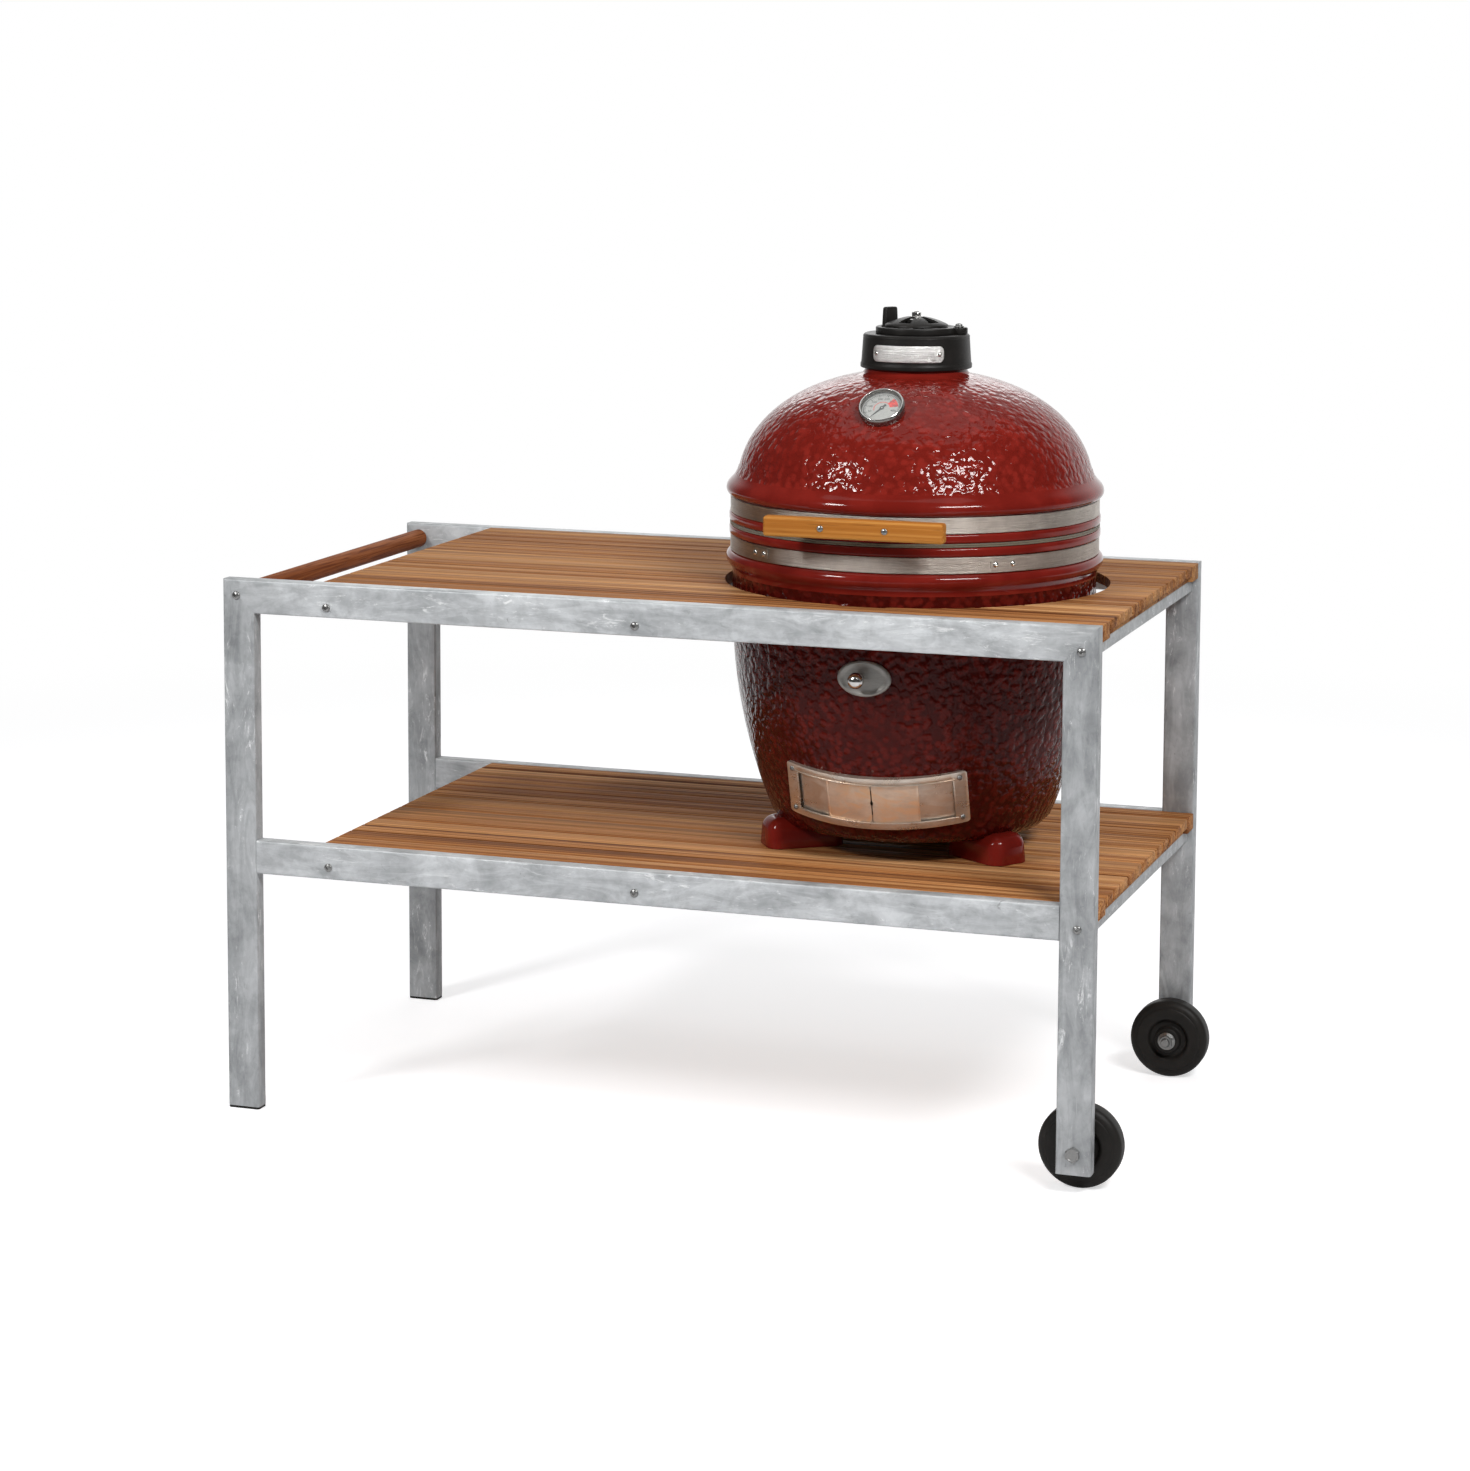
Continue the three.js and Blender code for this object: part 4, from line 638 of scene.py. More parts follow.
def frameScrews():
    s = frameScrew
    spots = [(x, table["height"] - s["topDrop"]) for x in crossSpots.values()]
    spots += [(x, table["shelf"] - s["lowerDrop"]) for x in crossSpots.values()]
    spots += [(s["barX"], table["height"] - s["barDrop"])]
    for side, word, facing in ((-1, "front", facingFront), (1, "back", facingBack)):
        places = [spot(leftEdge + x, side * table["depth"] / 2, z) @ facing for x, z in spots]
        screws(f"{word}_frame_screws", s["size"], places, millimetres, zinc, "frame")


frameTubes()
crossTubes()
frameScrews()
coat(blackPlastic, "front_left_foot", "back_left_foot")
print("table frame made")

# Wooden decks and the push bar
deckWood = {
    "left": 150, "right": 1320, "width": 643, "slats": 14, "gap": 3.5, "thick": 15, "deep": 24.4, "round": 1.6,
    "batten": 34, "holeX": 962, "holeY": 8, "hole": 285, "topZ": 799.7, "shelfZ": 409.7,
}
bar = {"x": 22, "radius": 14.5, "length": 644.4, "drop": 24, "round": 1.5}


def slats(deckZ, hole):
    d = deckWood
    length = d["right"] - d["left"]
    wide = (d["width"] - (d["slats"] - 1) * d["gap"]) / d["slats"]
    parts = []
    for i in range(d["slats"]):
        y = -d["width"] / 2 + wide / 2 + i * (wide + d["gap"])
        tall = d["deep"] if i in (0, d["slats"] - 1) else d["thick"]
        board = slab(length, wide, tall, d["round"])
        parts.append(moved(board, spot(leftEdge + d["left"] + length / 2, y, deckZ - tall / 2)))
    whole = gather(*parts)
    if hole:
        cutter = rod(d["hole"], -60, 60, 144)
        whole = carved(whole, moved(cutter, spot(leftEdge + d["holeX"], d["holeY"], deckZ)))
    return whole, wide


def decks():
    d = deckWood
    levels = (("top_deck", d["topZ"], True, teak), ("lower_shelf", d["shelfZ"], False, shelfTeakPaintedLight))
    for node, z, hole, wood in levels:
        whole, wide = slats(z, hole)
        piece(node + "_slats", whole, millimetres, wood, "frame", [node], 30)
        strips = []
        tall = d["deep"] - d["thick"]
        for x in crossSpots.values():
            strip = slab(d["batten"], d["width"] - 2 * wide, tall, 1)
            strips.append(moved(strip, spot(leftEdge + x, 0, z - d["deep"] + tall / 2)))
        piece(node + "_battens", gather(*strips), millimetres, wood, "frame")


def pushBar():
    b = bar
    half, r, soft = b["length"] / 2, b["radius"], b["round"]
    profile = softened([(0, -half), (r, -half, soft), (r, half, soft), (0, half)])
    place = millimetres @ spot(leftEdge + b["x"], 0, table["height"] - b["drop"]) @ facingFront
    piece("push_bar_wood", lathe(profile, 48, False), place, barWood, "frame", ["push_bar"])


decks()
pushBar()
print("decks and bar made")

# Wheels, axle bolts and nuts
wheel = {
    "x": 617.5, "y": 296.2, "radius": 60, "width": 38, "shoulder": 7, "hubWidth": 52, "hub": 19,
    "recess": 31, "recessDepth": 7, "bore": 6.3,
}
axle = {"radius": 6, "across": 19, "head": 7.5, "nut": 10, "flange": 13.5, "tip": 91.0, "face": 347.5, "play": 0.3}


def wheels():
    w = wheel
    half, hubHalf, recess = w["width"] / 2, w["hubWidth"] / 2, w["recess"]
    floor = half - w["recessDepth"]
    oneSide = [
        (w["bore"], hubHalf), (w["hub"] - 4, hubHalf, 1), (w["hub"] - 5, hubHalf - 1.5, 0.5),
        (w["hub"], hubHalf - 2.5, 1.5), (w["hub"] + 1, floor, 2), (recess - 3, floor, 2),
        (recess, half - 1, 1.5), (recess + 3, half, 1), (w["radius"] - 12, half, 2),
        (w["radius"] - 11, half - 1.2, 0.8), (w["radius"] - w["shoulder"], half - 1, 4),
        (w["radius"], half - w["shoulder"], 4),
    ]
    other = [(p[0], -p[1], *p[2:]) for p in reversed(oneSide)]
    profile = softened(oneSide + other)
    for side, word in ((-1, "front"), (1, "back")):
        place = spot(w["x"], side * w["y"], w["radius"]) @ facingBack
        name, tyre = word + "_wheel", lathe(profile, 96)
        piece(name + "_tyre", tyre, millimetres @ place, blackPlastic, name, [name])


def axles():
    a = axle
    corner, flat = hexRing(a["across"]), a["across"] / 2 * 0.96
    for side, word in ((-1, "front"), (1, "back")):
        outward = facingFront if side < 0 else facingBack
        place = millimetres @ spot(wheel["x"], side * a["face"], wheel["radius"]) @ outward
        head = [
            (0, 0.3), (corner, 0.3), (corner, a["head"] - 1.2), (flat, a["head"]), (flat * 0.8, a["head"]),
            (flat * 0.76, a["head"] - 0.3), (0, a["head"] - 0.3),
        ]
        shank = softened([(0, 0.5), (a["radius"], 0.5), (a["radius"], -a["tip"], 1.2), (0, -a["tip"])])
        bolt = gather(lathe(head, 36, False), lathe(shank, 24, False))
        piece(word + "_axle_bolt_hex", bolt, place, zinc, "frame", [word + "_axle_bolt"])
        start = a["face"] - wheel["y"] + wheel["hubWidth"] / 2 + a["play"]
        nut = [
            (a["radius"] + 0.3, 0), (a["flange"], 0), (a["flange"], 1.4), (a["flange"] - 1.5, 2.2),
            (corner, 3.2), (corner, a["nut"] - 1.4), (flat, a["nut"]), (a["radius"] + 1.2, a["nut"]),
            (a["radius"] + 0.3, a["nut"] - 1),
        ]
        inward = place @ spot(0, 0, -start) @ turn(180, "X")
        piece(word + "_axle_nut_hex", lathe(nut, 36), inward, zinc, "frame", [word + "_axle_nut"])


wheels()
axles()
print("wheels made")

# Kamado: shells, bands and gaskets. Heights are above the shelf.
body = {
    "corner": (208, 47), "pull": (269, 190), "top": (269, 360), "bottom": 33, "bottomRadius": 190,
    "wall": 27, "floor": 56, "seat": 270, "lip": 274, "rim": 473, "lipBottom": 460, "rimInner": 245,
    "flare": 8.5, "flareHalf": 10, "flareMiddle": 425, "lipRound": 4, "lipEdge": (2.5, 3), "seatStep": 1.5,
    "dimpleTop": 399, "fairing": (
        (269, -27), (269, -22), (269.6, -18), (271, -14.5), (273.6, -11), (276.4, -7.5), (278, -3.5), (278.5, 0),
    ),
}
dome = {
    "radius": 264, "centre": 519, "rise": 183, "power": 2.2, "shoulder": 560, "wall": 24, "rim": 478.7,
    "lipTop": 491.7, "flareMiddle": 526.7, "neck": 75, "neckTop": 738, "flue": 50, "fillet": (9, 10), "neckFoot": 87,
    "fairing": (
        (277.8, 4.3), (275.6, 8.3), (272, 12.3), (268.4, 16.1), (265.4, 20.1), (263, 24.8), (261.2, 30.3),
    ),
}
bandSizes = {
    "inner": 270.3, "outer": 272.3, "lower": (436, 459), "upper": (492.7, 515.7), "roll": 0.5, "edge": 2.6,
}
gasket = {"inner": 246, "outer": 273, "thick": 2.4, "base": 473.3, "lid": 476.0}
port = {"angle": 14, "low": 76, "high": 116}
feederAt = {"x": 4, "z": 284, "bore": 19.3}
ringSides = 144


def bodyCurve(inset, steps):
    (x0, z0), (x1, z1), (x2, z2) = body["corner"], body["pull"], body["top"]
    points = []
    for i in range(steps + 1):
        t = i / steps
        r = x0 * (1 - t) ** 2 + 2 * x1 * t * (1 - t) + x2 * t**2
        points.append((r - inset, z0 * (1 - t) ** 2 + 2 * z1 * t * (1 - t) + z2 * t**2))
    return points


def domeHeightAt(radius, inset=0.0):
    share = (radius / (dome["radius"] - inset)) ** dome["power"]
    return dome["centre"] + (dome["rise"] - inset) * (1 - share) ** (1 / dome["power"])


def domeCurve(inset, start, end, steps):
    turns = [math.sin(math.pi / 2 * (1 - i / steps)) for i in range(steps + 1)]
    return [(end + (start - end) * t, domeHeightAt(end + (start - end) * t, inset)) for t in turns]


def faired(middle, steps):
    return [(radius, middle + z) for radius, z in steps]


def feederBore(radius, start, end):
    return moved(rod(radius, start, end), spot(feederAt["x"], 0, feederAt["z"]) @ facingFront)


# The opening behind the draft door, as a wedge from inside the axis out to a reach
def portCutter(back, reach, low, high):
    angles = [math.radians(-port["angle"] + 2 * port["angle"] * i / 6) for i in range(7)]
    wedge = [(0.0, back)] + [(reach * math.sin(a), -reach * math.cos(a)) for a in angles]
    return moved(prism(wedge, high - low), spot(0, 0, low))


# Which finish a ring of faces has: 0 dimpled, 1 even, 2 bare clay from the rim inwards
def glazeTag(dimpled, last):
    return lambda i: 2 if i >= last - 1 else 0 if i in dimpled else 1


def baseShell():
    b = body
    (edgeWide, edgeTall), lipRound, bottom = b["lipEdge"], b["lipRound"], (b["bottomRadius"], b["bottom"])
    outside = softened([(0, b["bottom"]), (*bottom, 6)])[:-1] + [(bottom[0] + 5, bottom[1] + 1.2)]
    outside += bodyCurve(0, 26) + faired(b["flareMiddle"], b["fairing"])
    outside += arc(b["seat"], b["flareMiddle"], b["flare"], b["flareHalf"], 0, 90, 8)
    outside += [(b["seat"], b["lipBottom"] - b["seatStep"]), (b["seat"] + 1, b["lipBottom"])]
    outside += arc(b["lip"] - edgeWide, b["lipBottom"] + edgeTall, edgeWide, edgeTall, -60, 0, 4)
    outside += arc(b["lip"] - lipRound, b["rim"] - lipRound, lipRound, lipRound, 0, 90, 6)
    dimpled = sum(1 for r, z in outside if z < b["dimpleTop"])
    tag = glazeTag(range(dimpled), len(outside))
    floorRadius = b["corner"][0] - b["wall"]
    inside = [(b["rimInner"] + 2, b["rim"]), (b["rimInner"], b["rim"] - 2)]
    inside += [(r, z) for r, z in bodyCurve(b["wall"], 16) if z > b["floor"] + b["wall"]][::-1]
    inside += [(floorRadius, b["floor"] + 4), (floorRadius - 6, b["floor"]), (0, b["floor"])]
    whole = lathe(outside + inside, ringSides, False, tag)
    opening = portCutter(-110.0, 300, port["low"], port["high"])
    whole = carved(whole, opening, feederBore(feederAt["bore"], 200, 290))
    piece("base_glaze", whole, kamadoAt, [bodyGlazePaintedShade, evenGlaze, rawClay], "frame", ["base_shell"], 40)


def lidShell():
    b, d = body, dome
    (edgeWide, edgeTall), lipRound, (filletWide, filletTall) = b["lipEdge"], b["lipRound"], d["fillet"]
    domeStart = (d["shoulder"] - d["centre"]) / d["rise"]
    shoulder = d["radius"] * (1 - domeStart ** d["power"]) ** (1 / d["power"])
    outside = arc(b["lip"] - lipRound, d["rim"] + lipRound, lipRound, lipRound, -90, 0, 6)
    outside += arc(b["lip"] - edgeWide, d["lipTop"] - edgeTall, edgeWide, edgeTall, 0, 60, 4)
    outside += [(b["seat"] + 1, d["lipTop"]), (b["seat"], d["lipTop"] + b["seatStep"])]
    outside += arc(b["seat"], d["flareMiddle"], b["flare"], b["flareHalf"], -90, 0, 8)
    outside += faired(d["flareMiddle"], d["fairing"])
    dimpleStart = len(outside) - 3
    outside += domeCurve(0, shoulder, d["neckFoot"], 34)
    dimpled = range(dimpleStart, len(outside) - 1)
    outside += arc(d["neck"] + filletWide, domeHeightAt(d["neckFoot"]) + 11, filletWide, filletTall, 250, 180, 7)
    outside += [(d["neck"], d["neckTop"])]
    tag = glazeTag(dimpled, len(outside))
    inside = [(d["flue"] + 3, d["neckTop"]), (d["flue"], d["neckTop"] - 3)]
    inside += domeCurve(d["wall"], b["rimInner"] - 9, d["flue"], 16)[::-1]
    inside += [(b["rimInner"], d["rim"] + 2), (b["rimInner"] + 2, d["rim"])]
    whole = lathe(outside + inside, ringSides, True, tag)
    piece("lid_glaze", whole, kamadoAt, [domeGlaze, evenGlaze, rawClay], "lid", ["lid_dome"], 40)


def bandsAndGaskets():
    s, g = bandSizes, gasket
    inner, outer, roll, edge = s["inner"], s["outer"], s["roll"], s["edge"]
    for node, word, rider in (("base_band", "lower", "frame"), ("lid_band", "upper", "lid")):
        low, high = s[word]
        profile = softened([
            (inner, low), (outer, low, 0.6), (outer + roll, low + edge / 2, 0.7), (outer, low + edge, 0.6),
            (outer, high - edge, 0.6), (outer + roll, high - edge / 2, 0.7), (outer, high, 0.6), (inner, high),
        ])
        piece(node + "_steel", lathe(profile, ringSides), kamadoAt, bandSteel, rider, [node], 40)
    for word, rider in (("base", "frame"), ("lid", "lid")):
        low, high, node = g[word], g[word] + g["thick"], word + "_gasket"
        profile = [(g["inner"], low, 0.8), (g["outer"], low, 1), (g["outer"], high, 1), (g["inner"], high, 0.8)]
        piece(node + "_felt", lathe(softened(profile), ringSides), kamadoAt, felt, rider, [node])


# Small screws and joint straps on the lower band
bandScrews = {"angles": (40.7, 46.5, -36.5, -41.1), "z": 447.5, "size": (4.2, 2.4), "out": 0.9}
bandStraps = {"angles": (43.6, -38.8), "length": 42, "height": 15, "corner": 3, "thick": 1, "lift": 0.2}


def bandTrim():
    s, j = bandScrews, bandStraps
    places = [onRing(angle, bandSizes["outer"] + s["out"], s["z"]) for angle in s["angles"]]
    screws("base_band_screws", s["size"], places, kamadoAt, polished, "frame")
    straps = []
    for angle in j["angles"]:
        strap = prism(outlineBox(j["length"], j["height"], j["corner"], 4), j["thick"])
        strap = moved(strap, spot(0, -j["lift"], 0) @ facingFront)
        strap = bent(strap, lambda z: bandSizes["outer"] + j["lift"], 4)
        straps.append(moved(strap, turn(angle, "Z") @ spot(0, 0, s["z"])))
    piece("base_band_straps", gather(*straps), kamadoAt, bandSteel, "frame")


# Handle on the lid
grip = {
    "length": 264, "depth": 20, "height": 29, "y": -310, "z": 502.2, "round": 4.5, "screwX": 47, "screw": (4.6, 2.2),
}


def lidHandle():
    g = grip
    stick = moved(slab(g["length"], g["depth"], g["height"], g["round"], 4), spot(0, g["y"], g["z"]))
    piece("lid_handle_wood", stick, kamadoAt, bamboo, "lid", ["lid_handle"], 50)
    front = g["y"] - g["depth"] / 2
    places = [spot(x, front, g["z"]) @ facingFront for x in (-g["screwX"], g["screwX"])]
    screws("lid_handle_screws", g["screw"], places, kamadoAt, zinc, "lid")


baseShell()
lidShell()
bandsAndGaskets()
bandTrim()
lidHandle()
coat(bandSteel, "left_handle_bracket", "right_handle_bracket", "base_hinge_bracket", "lid_hinge_bracket")
print("kamado shells made")

# Hinge behind the bands
hinge = {
    "y": 318, "z": 450, "pin": 5, "head": 8.5, "headHeight": 4, "half": 62.3,
    "screw": (5, 3), "screwAngle": 9, "screwOut": 4.3, "screwZ": {"frame": 447.5, "lid": 504.2},
}
spring = {
    "wire": 2.25, "radius": 12, "inner": 10, "turns": 5, "pitch": 6.2, "leg": 26, "arm": (-45.7, 54.2),
    "steps": 28, "sides": 12,
}


def hingePin():
    h = hinge
    tall, end = h["headHeight"], h["half"] + 1
    head = [(0, 0, 0), (h["head"], 0, 0.8), (h["head"], tall * 0.6, 1.2), (h["head"] * 0.6, tall), (0, tall)]
    parts = []
    for side in (-1, 1):
        place = spot(side * h["half"], h["y"], h["z"]) @ turn(90 * side, "Y")
        parts.append(moved(lathe(softened(head), 32, False), place))
    parts.append(moved(rod(h["pin"], -end, end), spot(0, h["y"], h["z"]) @ turn(90, "Y")))
    piece("hinge_pin_steel", gather(*parts), kamadoAt, zinc, "frame", ["hinge_pin"])
    out = bandSizes["outer"] + h["screwOut"]
    for rider, z in h["screwZ"].items():
        places = [onRing(180 + angle, out, z) for angle in (-h["screwAngle"], h["screwAngle"])]
        screws(f"{rider}_hinge_screws", h["screw"], places, kamadoAt, polished, rider)


def swept(path, radius, sides):
    bm = bmesh.new()
    across = Vector((1, 0, 0))
    rings = []
    for i, point in enumerate(path):
        along = (path[min(i + 1, len(path) - 1)] - path[max(i - 1, 0)]).normalized()
        across = (across - along * across.dot(along)).normalized()
        up = along.cross(across)
        ring = []
        for k in range(sides):
            a = 2 * math.pi * k / sides
            ring.append(bm.verts.new(point + across * radius * math.cos(a) + up * radius * math.sin(a)))
        rings.append(ring)
    for low, high in zip(rings, rings[1:]):
        for k in range(sides):
            j = (k + 1) % sides
            bm.faces.new((low[k], low[j], high[j], high[k]))
    bm.faces.new(rings[0][::-1])
    bm.faces.new(rings[-1])
    return bm


def springs():
    s = spring
    arm = Vector(s["arm"]).normalized()
    start = math.pi / 2
    end = math.atan2(arm.y, arm.x) + math.pi / 2 - 2 * math.pi * (s["turns"] + 1)
    steps = int((start - end) / (2 * math.pi) * s["steps"])
    for side, word in ((-1, "left"), (1, "right")):
        first = Vector((side * s["inner"], hinge["y"] - s["radius"] - s["leg"], hinge["z"] + s["radius"]))
        path = [first]
        for i in range(steps + 1):
            angle = start + (end - start) * i / steps
            x = s["inner"] + s["pitch"] * (start - angle) / (2 * math.pi)
            y, z = hinge["y"] + s["radius"] * math.cos(angle), hinge["z"] + s["radius"] * math.sin(angle)
            path.append(Vector((side * x, y, z)))
        path.append(path[-1] + Vector((0, arm.x, arm.y)) * s["leg"])
        node = f"{word}_hinge_spring"
        wire = swept(path, s["wire"], s["sides"])
        coil = piece(node + "_wire", wire, kamadoAt, springWire, None, [node], 60)
        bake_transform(coil)


hingePin()
springs()
print("hinge made")

# Cast vent on the neck
ventAt = kamadoAt @ spot(0, 0, 755) @ turn(5.5, "Z")
vent = {"height": 50, "top": 78, "bottom": 81.5, "lip": 54, "inner": 75.8, "ceiling": -16.7}
swing = {
    "radius": 60, "thick": 9.5, "low": 0.3, "rim": 8, "recess": 1.4, "pivot": 63, "boss": 13, "hole": 4.3,
    "stud": 5.3, "pin": 4, "pinLow": -11.7, "washer": 7.5, "screw": (5.4, 3.4),
}
petals = {"count": 5, "share": 0.42, "inner": 12, "outer": 38}
tab = {"foot": 27, "head": 23.2, "height": 28, "thick": 8, "radius": 54, "turn": 147, "sunk": 2}
damper = {
    "radius": 46, "rise": 12, "sheet": 3, "gap": 0.3, "turn": 36, "stud": 5, "nut": 13, "nutHeight": 7, "washer": 9,
}
namePlate = {
    "width": 112, "height": 24, "corner": 8, "thick": 1, "drop": 25.5, "lift": 0.9, "rivetX": 49, "rivet": (3.2, 2),
}


def petalCutters(shift, low, high):
    p = petals
    pitch = 360 / p["count"]
    half = pitch * p["share"] / 2
    cutters = []
    for i in range(p["count"]):
        middle = i * pitch + shift
        outline = arc(0, 0, p["outer"], p["outer"], middle - half, middle + half, 8)
        outline += arc(0, 0, p["inner"], p["inner"], middle + half, middle - half, 3)
        cutters.append(moved(prism(outline, high - low), spot(0, 0, low)))
    return cutters


def ventHousing():
    v = vent
    low, neck, wide = -v["height"], v["top"], v["bottom"] + 0.6
    profile = softened([
        (v["inner"], low, 0.6), (wide, low, 1.6), (wide, low + 6, 1.2), (v["bottom"] - 0.6, low + 8, 1),
        (neck + 0.3, -5, 1), (neck + 0.6, -3.4, 0.6), (neck - 2, 0, 1.8), (v["lip"], 0, 1.2),
        (v["lip"], v["ceiling"]), (v["inner"], v["ceiling"]),
    ], 4)
    piece("vent_housing_casting", lathe(profile, 96), ventAt, castIron, "lid", ["vent_housing"], 45)


# Round plate with petal holes, a boss at its pivot and a tab to push it by
def ventSwing():
    s = swing
    low, top, wide, pivot = s["low"], s["low"] + s["thick"], s["radius"], spot(s["pivot"], 0, 0)
    rim, dish = wide - s["rim"], top - s["recess"]
    disc = [(0, low), (wide, low, 1), (wide, top, 2), (rim, top, 1), (rim - 2, dish, 1), (0, dish)]
    boss = [(0, low), (s["boss"], low, 1), (s["boss"], top, 2), (0, top)]
    foot, head, tall, thick = tab["foot"] / 2, tab["head"] / 2, tab["height"], tab["thick"]
    leaf = prism(softened([(-foot, 0), (foot, 0), (head, tall, 4), (-head, tall, 4)], 4), thick)
    leaf = chamfer(moved(leaf, spot(0, 0, -thick / 2)), 1.2, 2, 60)
    upright = spot(tab["radius"], 0, top - tab["sunk"]) @ turn(90, "Z") @ turn(90, "X")
    leaf = moved(leaf, turn(tab["turn"], "Z") @ upright)
    disc, boss = lathe(softened(disc), 96, False), moved(lathe(softened(boss), 40, False), pivot)
    plate = carved(disc, boss, leaf, operation="UNION")
    plate = carved(plate, *petalCutters(0, -10, 30), rod(s["stud"], -9, 31), moved(rod(s["hole"], -9, 31), pivot))
    piece("vent_swing_casting", plate, ventAt, castIron, "vent_swing", ["vent_swing_plate"], 40)
    washer = s["washer"]
    pin = softened([
        (0, s["pinLow"]), (s["pin"], s["pinLow"]), (s["pin"], top + 0.3), (washer, top + 0.3, 0.3),
        (washer, top + 1.8, 0.5), (washer - 1, top + 2.2), (0, top + 2.2),
    ])
    bolt = gather(lathe(pin, 32, False), moved(screw(*s["screw"]), spot(0, 0, top + 2.4)))
    piece("vent_pivot_bolt", bolt, ventAt @ pivot, zinc, "lid", ["vent_pivot_screw"])


def ventDamper():
    d = damper
    low = swing["low"] + swing["thick"] + d["gap"]
    top = low + d["sheet"] + d["rise"]

    def domed(radius, base):
        return [(radius * i / 8, base + d["rise"] * (1 - (i / 8) ** 2)) for i in range(9)]

    outer, inner = domed(d["radius"], low + d["sheet"]), domed(d["radius"] - d["sheet"], low)
    rim, edge = d["radius"] + 0.4, d["radius"] - d["sheet"]
    profile = outer + [(rim, low + d["sheet"] - 0.6), (rim, low), (edge, low)] + inner[::-1][1:]
    shell = carved(lathe(profile, 80, False), *petalCutters(d["turn"], low - 5, low + 30))
    piece("vent_damper_casting", shell, ventAt, castIron, "vent_damper", ["vent_damper"], 40)
    corner, flat, tip = hexRing(d["nut"]), d["nut"] / 2 * 0.95, top + d["nutHeight"]
    washer, hole = d["washer"], d["stud"] - 1.6
    nut = lathe([
        (0, top - 2), (washer, top - 2), (washer, top - 0.6), (washer - 0.6, top), (corner, top + 0.4),
        (corner, tip - 1.6), (flat, tip - 1), (hole, tip - 1), (hole, tip), (0, tip),
    ], 36, False)
    nut = gather(nut, rod(d["stud"], 0.3, top, 24))
    piece("vent_damper_nut", nut, ventAt, polished, "vent_damper")


def blankPlate():
    n = namePlate
    slope = (vent["bottom"] - vent["top"]) / vent["height"]

    def radiusAt(z):
        return vent["top"] + n["lift"] - (z - n["drop"]) * slope

    def sheet(inset, tighter, thick):
        return prism(outlineBox(n["width"] - inset, n["height"] - inset, n["corner"] - tighter, 6), thick)

    flat = chamfer(moved(sheet(0, 0, n["thick"]), facingFront), 0.3, 2, 60)
    rim = carved(sheet(5, 2, 0.35), moved(sheet(8, 3, 2), spot(0, 0, -1)))
    raised = moved(rim, spot(0, -n["thick"] + 0.1, 0) @ facingFront)
    plate = gather(bent(flat, radiusAt, 3), bent(raised, radiusAt, 3))
    place = ventAt @ spot(0, 0, -n["drop"])
    piece("blank_plate", plate, place, plateSteel, "lid", ["name_plate"], 40)
    rivets = []
    wide, tall = n["rivet"]
    for side in (-1, 1):
        angle = math.degrees(side * n["rivetX"] / radiusAt(0))
        head = lathe([(0, -0.5), (wide, -0.5)] + arc(0, 0, wide, tall, 0, 90, 5), 20, False)
        rivets.append(moved(head, onRing(angle, radiusAt(0) + n["thick"], 0)))
    piece("blank_plate_rivets", gather(*rivets), place, polished, "lid")


ventHousing()
ventSwing()
ventDamper()
blankPlate()
print("vent made")

# Thermometer on the lid. Angles on the dial run clockwise from the top.
dialAt = kamadoAt @ spot(4, -188, 658.676) @ turn(40, "X")
dial = {
    "radius": 29, "case": 33.5, "depth": 12, "floor": 3, "top": 4.3, "base": 31, "sunk": 12, "stem": 4,
    "stemLength": 60, "start": 215, "sweep": 250, "ticks": 41, "longTick": (22.2, 1.0), "shortTick": (23.6, 0.6),
    "tickEnd": 26.6, "scaleEdge": 27.1, "figureSize": 5.2, "figureRadius": 18.2, "needle": 22, "tail": 8,
    "wide": 3.4, "hotZone": (11, 23.5, 0.72, 0.9), "mildLine": (11.2, 12.2, 0.12, 0.7),
    "glassGap": 1.6, "glassEdge": 1.5, "glassRise": 1.4,
}


def dialMark(angle, inner, outer, width, low, high):
    mark = slab(width, outer - inner, high - low)
    return moved(mark, turn(-angle, "Z") @ spot(0, (inner + outer) / 2, (low + high) / 2))


def ringPart(inner, outer, start, end, low, high):
    steps = max(int(abs(end - start) / 4), 2)
    outline = arc(0, 0, outer, outer, 90 - start, 90 - end, steps)
    outline += arc(0, 0, inner, inner, 90 - end, 90 - start, steps)
    return moved(prism(outline[::-1], high - low), spot(0, 0, low))


def figure(word, angle):
    curve = bpy.data.curves.new("figure", "FONT")
    curve.body, curve.size, curve.extrude = word, dial["figureSize"], 0.06
    curve.align_x, curve.align_y = "CENTER", "CENTER"
    thing = bpy.data.objects.new("figure", curve)
    scene.collection.objects.link(thing)
    mesh = bpy.data.meshes.new_from_object(thing.evaluated_get(bpy.context.evaluated_depsgraph_get()))
    bm = bmesh.new()
    bm.from_mesh(mesh)
    bpy.data.objects.remove(thing)
    bpy.data.meshes.remove(mesh)
    bpy.data.curves.remove(curve)
    a, reach = math.radians(angle), dial["figureRadius"]
    return moved(bm, spot(reach * math.sin(a), reach * math.cos(a), dial["top"] + 0.1))


